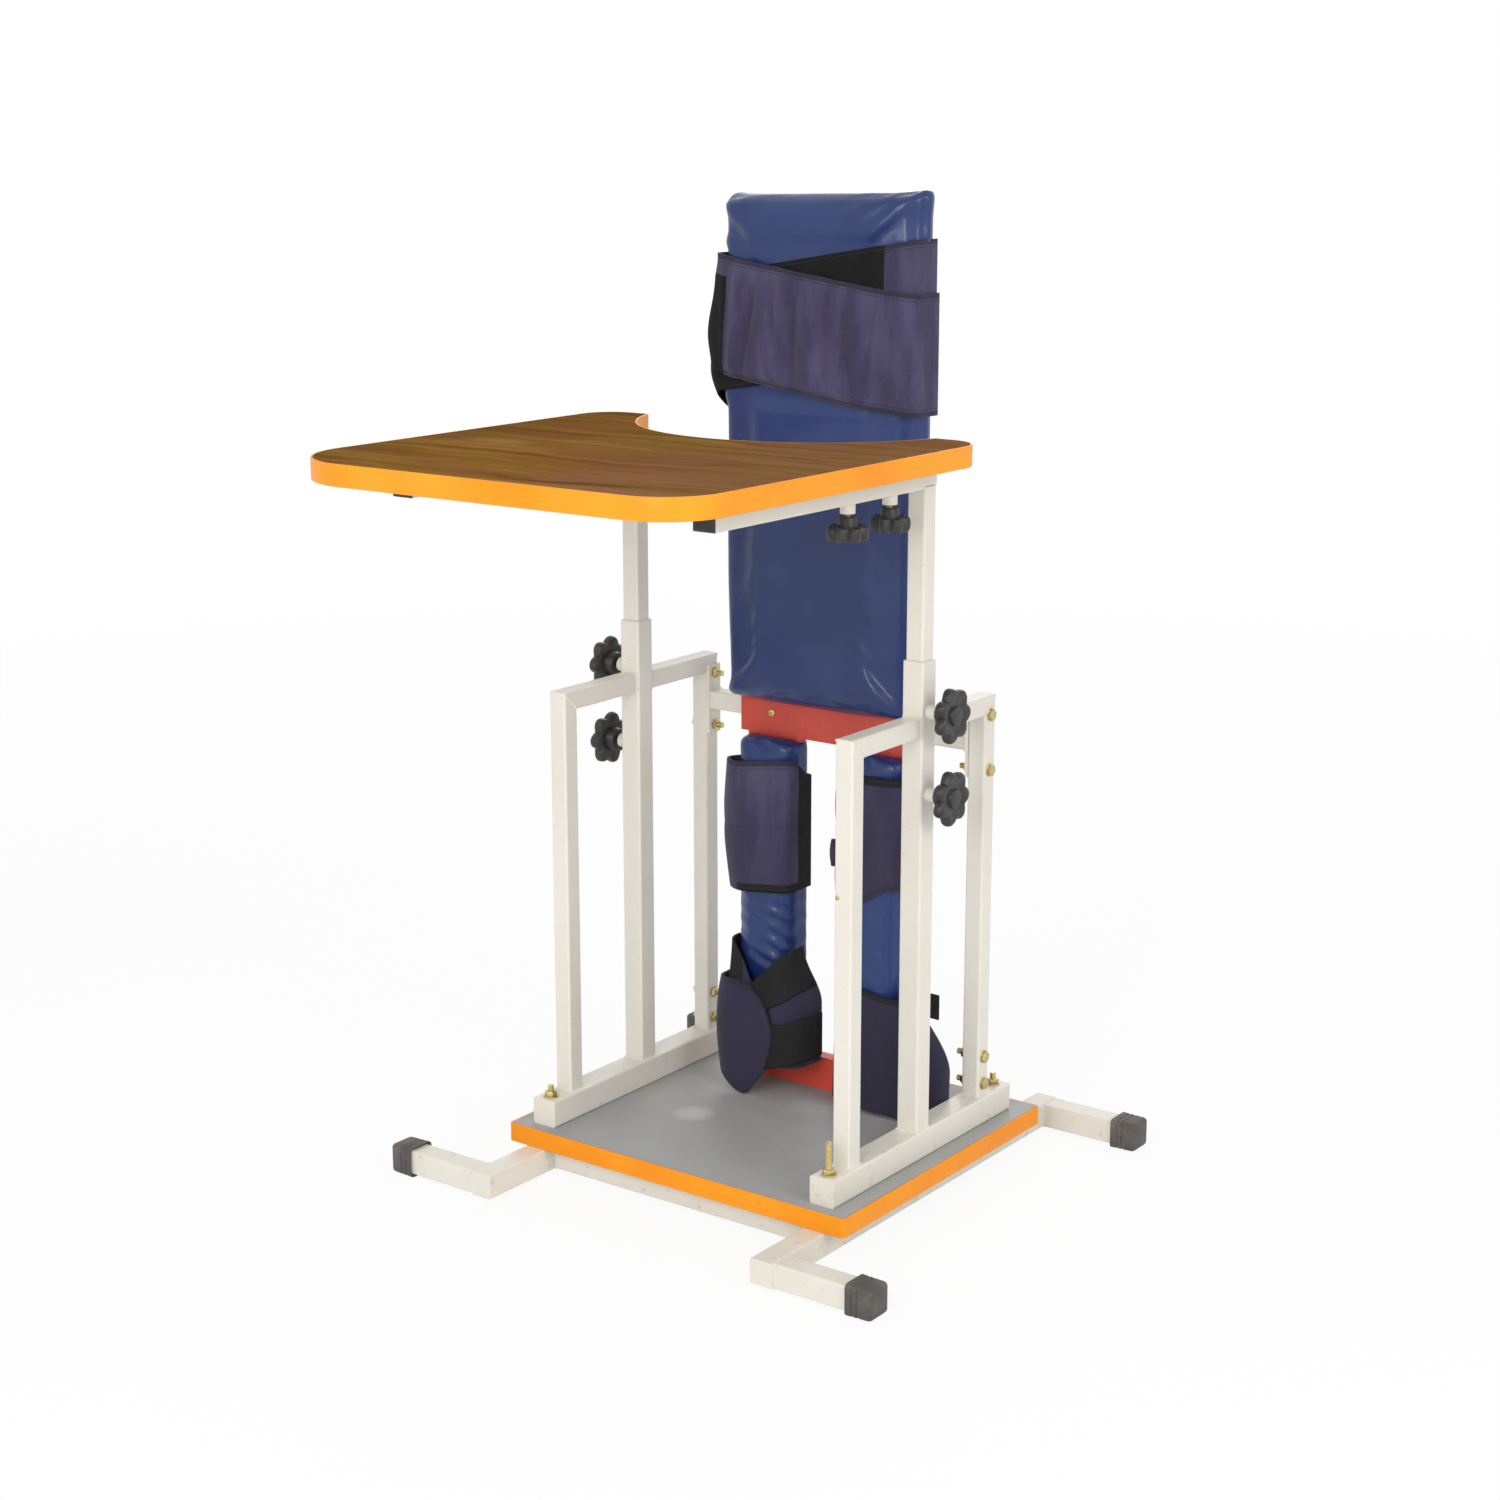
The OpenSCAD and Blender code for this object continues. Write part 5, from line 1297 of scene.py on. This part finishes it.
def strap_end_place(u, v):
    """The loop that the right cuff's strap end makes beside the leg."""
    angle = math.pi * (0.5 + u)
    half = loop_half * (0.8 + 0.2 * math.sin(math.pi * v))
    x = leg_x - leg_half - loop_off + half * math.cos(angle)
    y = pad_back - loop_back - loop_deep * math.sin(angle)
    return Vector((x, y, loop_z + strap_wide * v - loop_fall * u))


lay_cloth(
    "knee_strap_end", (24, 12), (strap_wide, strap_long), strap_end_place, 0.002, (purple_cloth,),
)

# Ankle wraps: quilted purple cloth, tight on the leg at the top and standing open round
# the foot. The left one has a tongue that comes down to the board over two black straps.
wrap_back, wrap_top, board_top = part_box("ankle_wrap_left")[1].y, 0.2586, 0.061
wrap_half, wrap_thick, wrap_lean = 0.076, 0.004, 0.024
wrap_deep, right_deep, right_reach, layers = 0.082, 0.043, 0.117, 0.012
strap_thick, cloth_slack, wrap_round = 0.0022, 1.12, (math.pi * 0.995, math.pi * 0.005)


def foot_form(side, angle, z, off):
    """A point off the inner face of a wrap, at an angle round it and a height. The left wrap
    starts further in at the foot, by the layers of its straps and tongue."""
    across, forward = oval(angle)
    up = (z - board_top) / (wrap_top - board_top)
    spread = 1 - ease((up - 0.35) / 0.6)
    half, depth = leg_half + cuff_off, leg_depth + cuff_off - pad_back + wrap_back
    if side < 0:
        spread += (1 - ease((up - 0.65) / 0.35) - spread) * ease(abs(across) * 1.5)
        swell, lean = spread, wrap_lean * spread
        reach, deep = wrap_half - layers, wrap_deep - layers
    else:
        swell, deep, lean = spread * ease((across + 0.9) / 1.3), right_deep, 0.0
        reach = half + wrap_thick if across < 0 else right_reach
    half += max(0.0, reach - wrap_thick - half) * spread + off
    depth += max(0.0, deep - wrap_thick - depth) * swell + off
    return Vector((side * leg_x + lean + half * across, wrap_back - depth * forward, z))


def curve(stops, at_x):
    """A smooth line through stops of (x, y), held flat past its ends."""
    at_x = min(stops[-1][0], max(stops[0][0], at_x))
    last = len(stops) - 1
    slope = []
    for index in range(last + 1):
        (x0, y0), (x1, y1) = stops[max(0, index - 1)], stops[min(last, index + 1)]
        slope.append((y1 - y0) / (x1 - x0))
    index = max(i for i in range(last) if i == 0 or stops[i][0] <= at_x)
    (x0, y0), (x1, y1) = stops[index], stops[index + 1]
    wide, t = x1 - x0, (at_x - x0) / (x1 - x0)
    swing = slope[index] * wide * t * (1 - t) ** 2 - slope[index + 1] * wide * t * t * (1 - t)
    return y0 + (y1 - y0) * ease(t) + swing


def wrap_sheet(name, side, cells, span, low, high, off, thick, finishes, pick=None, nodes=()):
    """A patch of a wrap between two angles, its lower and upper edges given over its shares
    across, and its distance off the wrap's inner face by off."""
    def spot(u, v):
        angle = span[0] + (span[1] - span[0]) * u
        across = oval(angle)[0]
        bottom, top = curve(low, across), curve(high, across)
        return angle, across, bottom + (top - bottom) * v

    def place(u, v):
        angle, across, z = spot(u, v)
        return foot_form(side, angle, z, off(across, z, u, v))

    def face_pick(u, v):
        angle, across, z = spot(u, v)
        return pick(across, z, v)

    path = [place(step / 60, 0.4) for step in range(61)]
    long = sum((b - a).length for a, b in zip(path, path[1:])) * cloth_slack
    shares = [step / 20 for step in range(-20, 21)]
    wide = max(curve(high, share) for share in shares) - min(curve(low, share) for share in shares)
    lay_cloth(
        name, cells, (wide, long), place, thick, finishes,
        pick and face_pick, nodes,
    )


def heel_folds(across, z, u, v):
    """Soft folds of the wrap round the heel."""
    spread = 1 - ease((z - 0.13) / 0.12)
    return 0.0002 + 0.003 * spread * (0.5 + 0.5 * math.sin(11 * across + 3.5 * v))


def tongue_bulge(across, z, u, v):
    """The tongue lies on both straps and bulges in its middle."""
    return 0.0094 + 0.004 * math.sin(math.pi * v) * math.sin(math.pi * min(1.0, u + 0.1))


wrap_sheet(
    "ankle_cuff_left", -1, (130, 44), wrap_round,
    low=((-1, 0.118), (-0.85, 0.092), (-0.25, 0.074), (0.1, 0.094), (0.4, 0.106), (1, 0.108)),
    high=((-1, 0.2586), (-0.55, 0.240), (-0.12, 0.205), (0.5, 0.238), (1, 0.2586)),
    off=heel_folds, thick=wrap_thick, finishes=quilted, nodes=["ankle_wrap_left"],
    pick=lambda across, z, v: int(across < -0.5 and z > 0.205),
)
wrap_sheet(
    "ankle_strap_upper", -1, (70, 16), (math.pi * 0.60, math.pi * 0.01),
    low=((-0.35, 0.160), (0.0, 0.168), (0.5, 0.193), (1, 0.213)),
    high=((-0.35, 0.200), (-0.12, 0.208), (0.5, 0.240), (1, 0.2605)),
    off=lambda across, z, u, v: 0.0068, thick=strap_thick, finishes=(black_webbing,),
)
wrap_sheet(
    "ankle_strap_lower", -1, (70, 18), (math.pi * 0.58, math.pi * 0.01),
    low=((-0.3, 0.101), (0.3, 0.104), (1, 0.119)), high=((-0.3, 0.161), (0.3, 0.164), (1, 0.178)),
    off=lambda across, z, u, v: 0.0070 + 0.0012 * math.sin(7 * across),
    thick=strap_thick, finishes=(black_webbing,),
)
wrap_sheet(
    "ankle_tongue", -1, (70, 40), (math.pi * 0.96, math.acos(0.40 ** (pad_power / 2))),
    low=((-1, 0.115), (-0.85, 0.086), (-0.25, 0.0622), (0.1, 0.085), (0.3, 0.116), (0.40, 0.148)),
    high=((-1, 0.213), (-0.5, 0.214), (-0.1, 0.206), (0.1, 0.198), (0.3, 0.180), (0.40, 0.160)),
    off=tongue_bulge, thick=wrap_thick, finishes=(purple_cloth,),
)
wrap_sheet(
    "ankle_cuff_right", 1, (130, 44), wrap_round, low=((-1, 0.070), (0.2, 0.067), (1, 0.0632)),
    high=((-1, 0.2586), (-0.6, 0.237), (0.1, 0.229), (0.7, 0.2245), (1, 0.223)),
    off=heel_folds, thick=wrap_thick, finishes=quilted, nodes=["ankle_wrap_right"],
    pick=lambda across, z, v: int(v > head_band or across > 0.93 and z > 0.190),
)
tab_low, tab_wide, tab_long, tab_cut = Vector((0.1375, 0.206, 0.204)), 0.033, 0.052, 0.055
tab_back, tab_bow, tab_thick = 0.014, 0.006, 0.0024


def right_strap_place(u, v):
    """The stiff end of the right wrap's strap, standing out behind the post."""
    bow = tab_back * u + tab_bow * math.sin(math.pi * u)
    return tab_low + Vector((tab_long * u, bow, tab_wide * v))


lay_cloth(
    "ankle_strap_right", (16, 8), (tab_wide, tab_cut), right_strap_place, tab_thick,
    (black_webbing,),
)

# Behind the board: the vinyl's margins are turned over and stapled, and screws with
# broad washers hold the ends of the chest bands and of the knee cuffs.
steel_bright, steel_dull = (0.62, 0.62, 0.60), (0.42, 0.42, 0.41)
bright_steel, shader, at = new_finish("bright_steel", Roughness=0.32, Metallic=1.0)
dull = at.cloud(240.0, 3.0)
dull.rise(0.3, 0.7).between(steel_bright, steel_dull).into(shader["Base Color"])
(0.26 + dull * 0.2).into(shader["Roughness"])
margin_thick, margin_gap, margin_ragged = 0.0009, 0.0003, 0.004
trunk_margin, trunk_inset, trunk_span = 0.026, 0.0075, (0.600, 1.236)
leg_margin, leg_inset, leg_span = 0.020, 0.0055, (0.112, 0.536)
staple_gap, staple_size, staple_in, staple_tilt = 0.038, (0.0009, 0.0007, 0.0105), 0.55, 0.35
staples = bmesh.new()


def trunk_edge(z):
    """The half width of the trunk pad at a height."""
    up = (z - pad_foot) / pad_high
    return (0.145 + 0.004 * ease(up / 0.35)) * (1 - 0.008 * math.sin(math.pi * up))


def margin(name, span, edge, way, wide):
    """A strip of vinyl from a pad's edge towards way, with a roughly cut side and staples."""
    low, long = span[0], span[1] - span[0]
    face = board_back + margin_gap

    def place(u, v):
        z = low + long * u
        ragged = margin_ragged * ripple(z * 40, edge(z) * 50, 3.0)
        inward = (1 - v if way < 0 else v) * (wide + ragged)
        return Vector((edge(z) + way * inward, face, z))

    lay_cloth(name, (40, 6), (wide, long), place, margin_thick, (blue_vinyl,))
    count = round(long / staple_gap)
    for step in range(count):
        z = low + long * (step + 0.5) / count
        spot = (edge(z) + way * wide * staple_in, face + margin_thick, z)
        wire = bmesh.ops.create_cube(staples, size=1.0)["verts"]
        bmesh.ops.scale(staples, verts=wire, vec=staple_size)
        tilt = Matrix.Rotation(staple_tilt * math.sin(37 * z), 4, "Y")
        bmesh.ops.transform(staples, matrix=Matrix.Translation(spot) @ tilt, verts=wire)


for end, side in ends:
    margin(
        "trunk_margin_" + end, trunk_span,
        lambda z, side=side: side * (trunk_edge(z) - trunk_inset), -side, trunk_margin,
    )
    for face, way in (("inner", 1), ("outer", -1)):
        edge_x = side * (leg_x - way * (leg_half - leg_inset))
        margin(
            f"leg_margin_{end}_{face}", leg_span, lambda z, x=edge_x: x, side * way, leg_margin,
        )
make_piece("cover_staples", staples, bright_steel, "frame", sharp=30)

anchor_washer, anchor_bore, anchor_thick, anchor_lift = 0.016, 0.005, 0.0012, 0.0010
anchor_head, anchor_high = 0.0095, 0.0024
band_anchors, band_step = ((-0.097, 1.097), (0.097, 1.055)), 0.045
cuff_anchor_x, cuff_anchor_zs = 0.016, (0.385, 0.455)
band_face = pad_back + belt_turn + outer_gap + band_thick
cuff_face = pad_back + belt_turn + cuff_gap + cuff_thick
spots = [(x, band_face, z + s * band_step) for x, z in band_anchors for s in (-1, 1)]
for leg in (-leg_x, leg_x):
    for x in (leg - cuff_anchor_x, leg + cuff_anchor_x):
        spots += [(x, cuff_face, z) for z in cuff_anchor_zs]
anchors = bmesh.new()
for spot in spots:
    stand = along(spot, (0, 1, 0))
    washer(anchors, stand, anchor_washer, anchor_bore, anchor_thick)
    lifted = stand @ Matrix.Translation((0, 0, anchor_lift))
    screw_head(anchors, lifted, anchor_head, anchor_high)
make_piece("strap_anchors", anchors, gold_zinc, "frame", sharp=35)
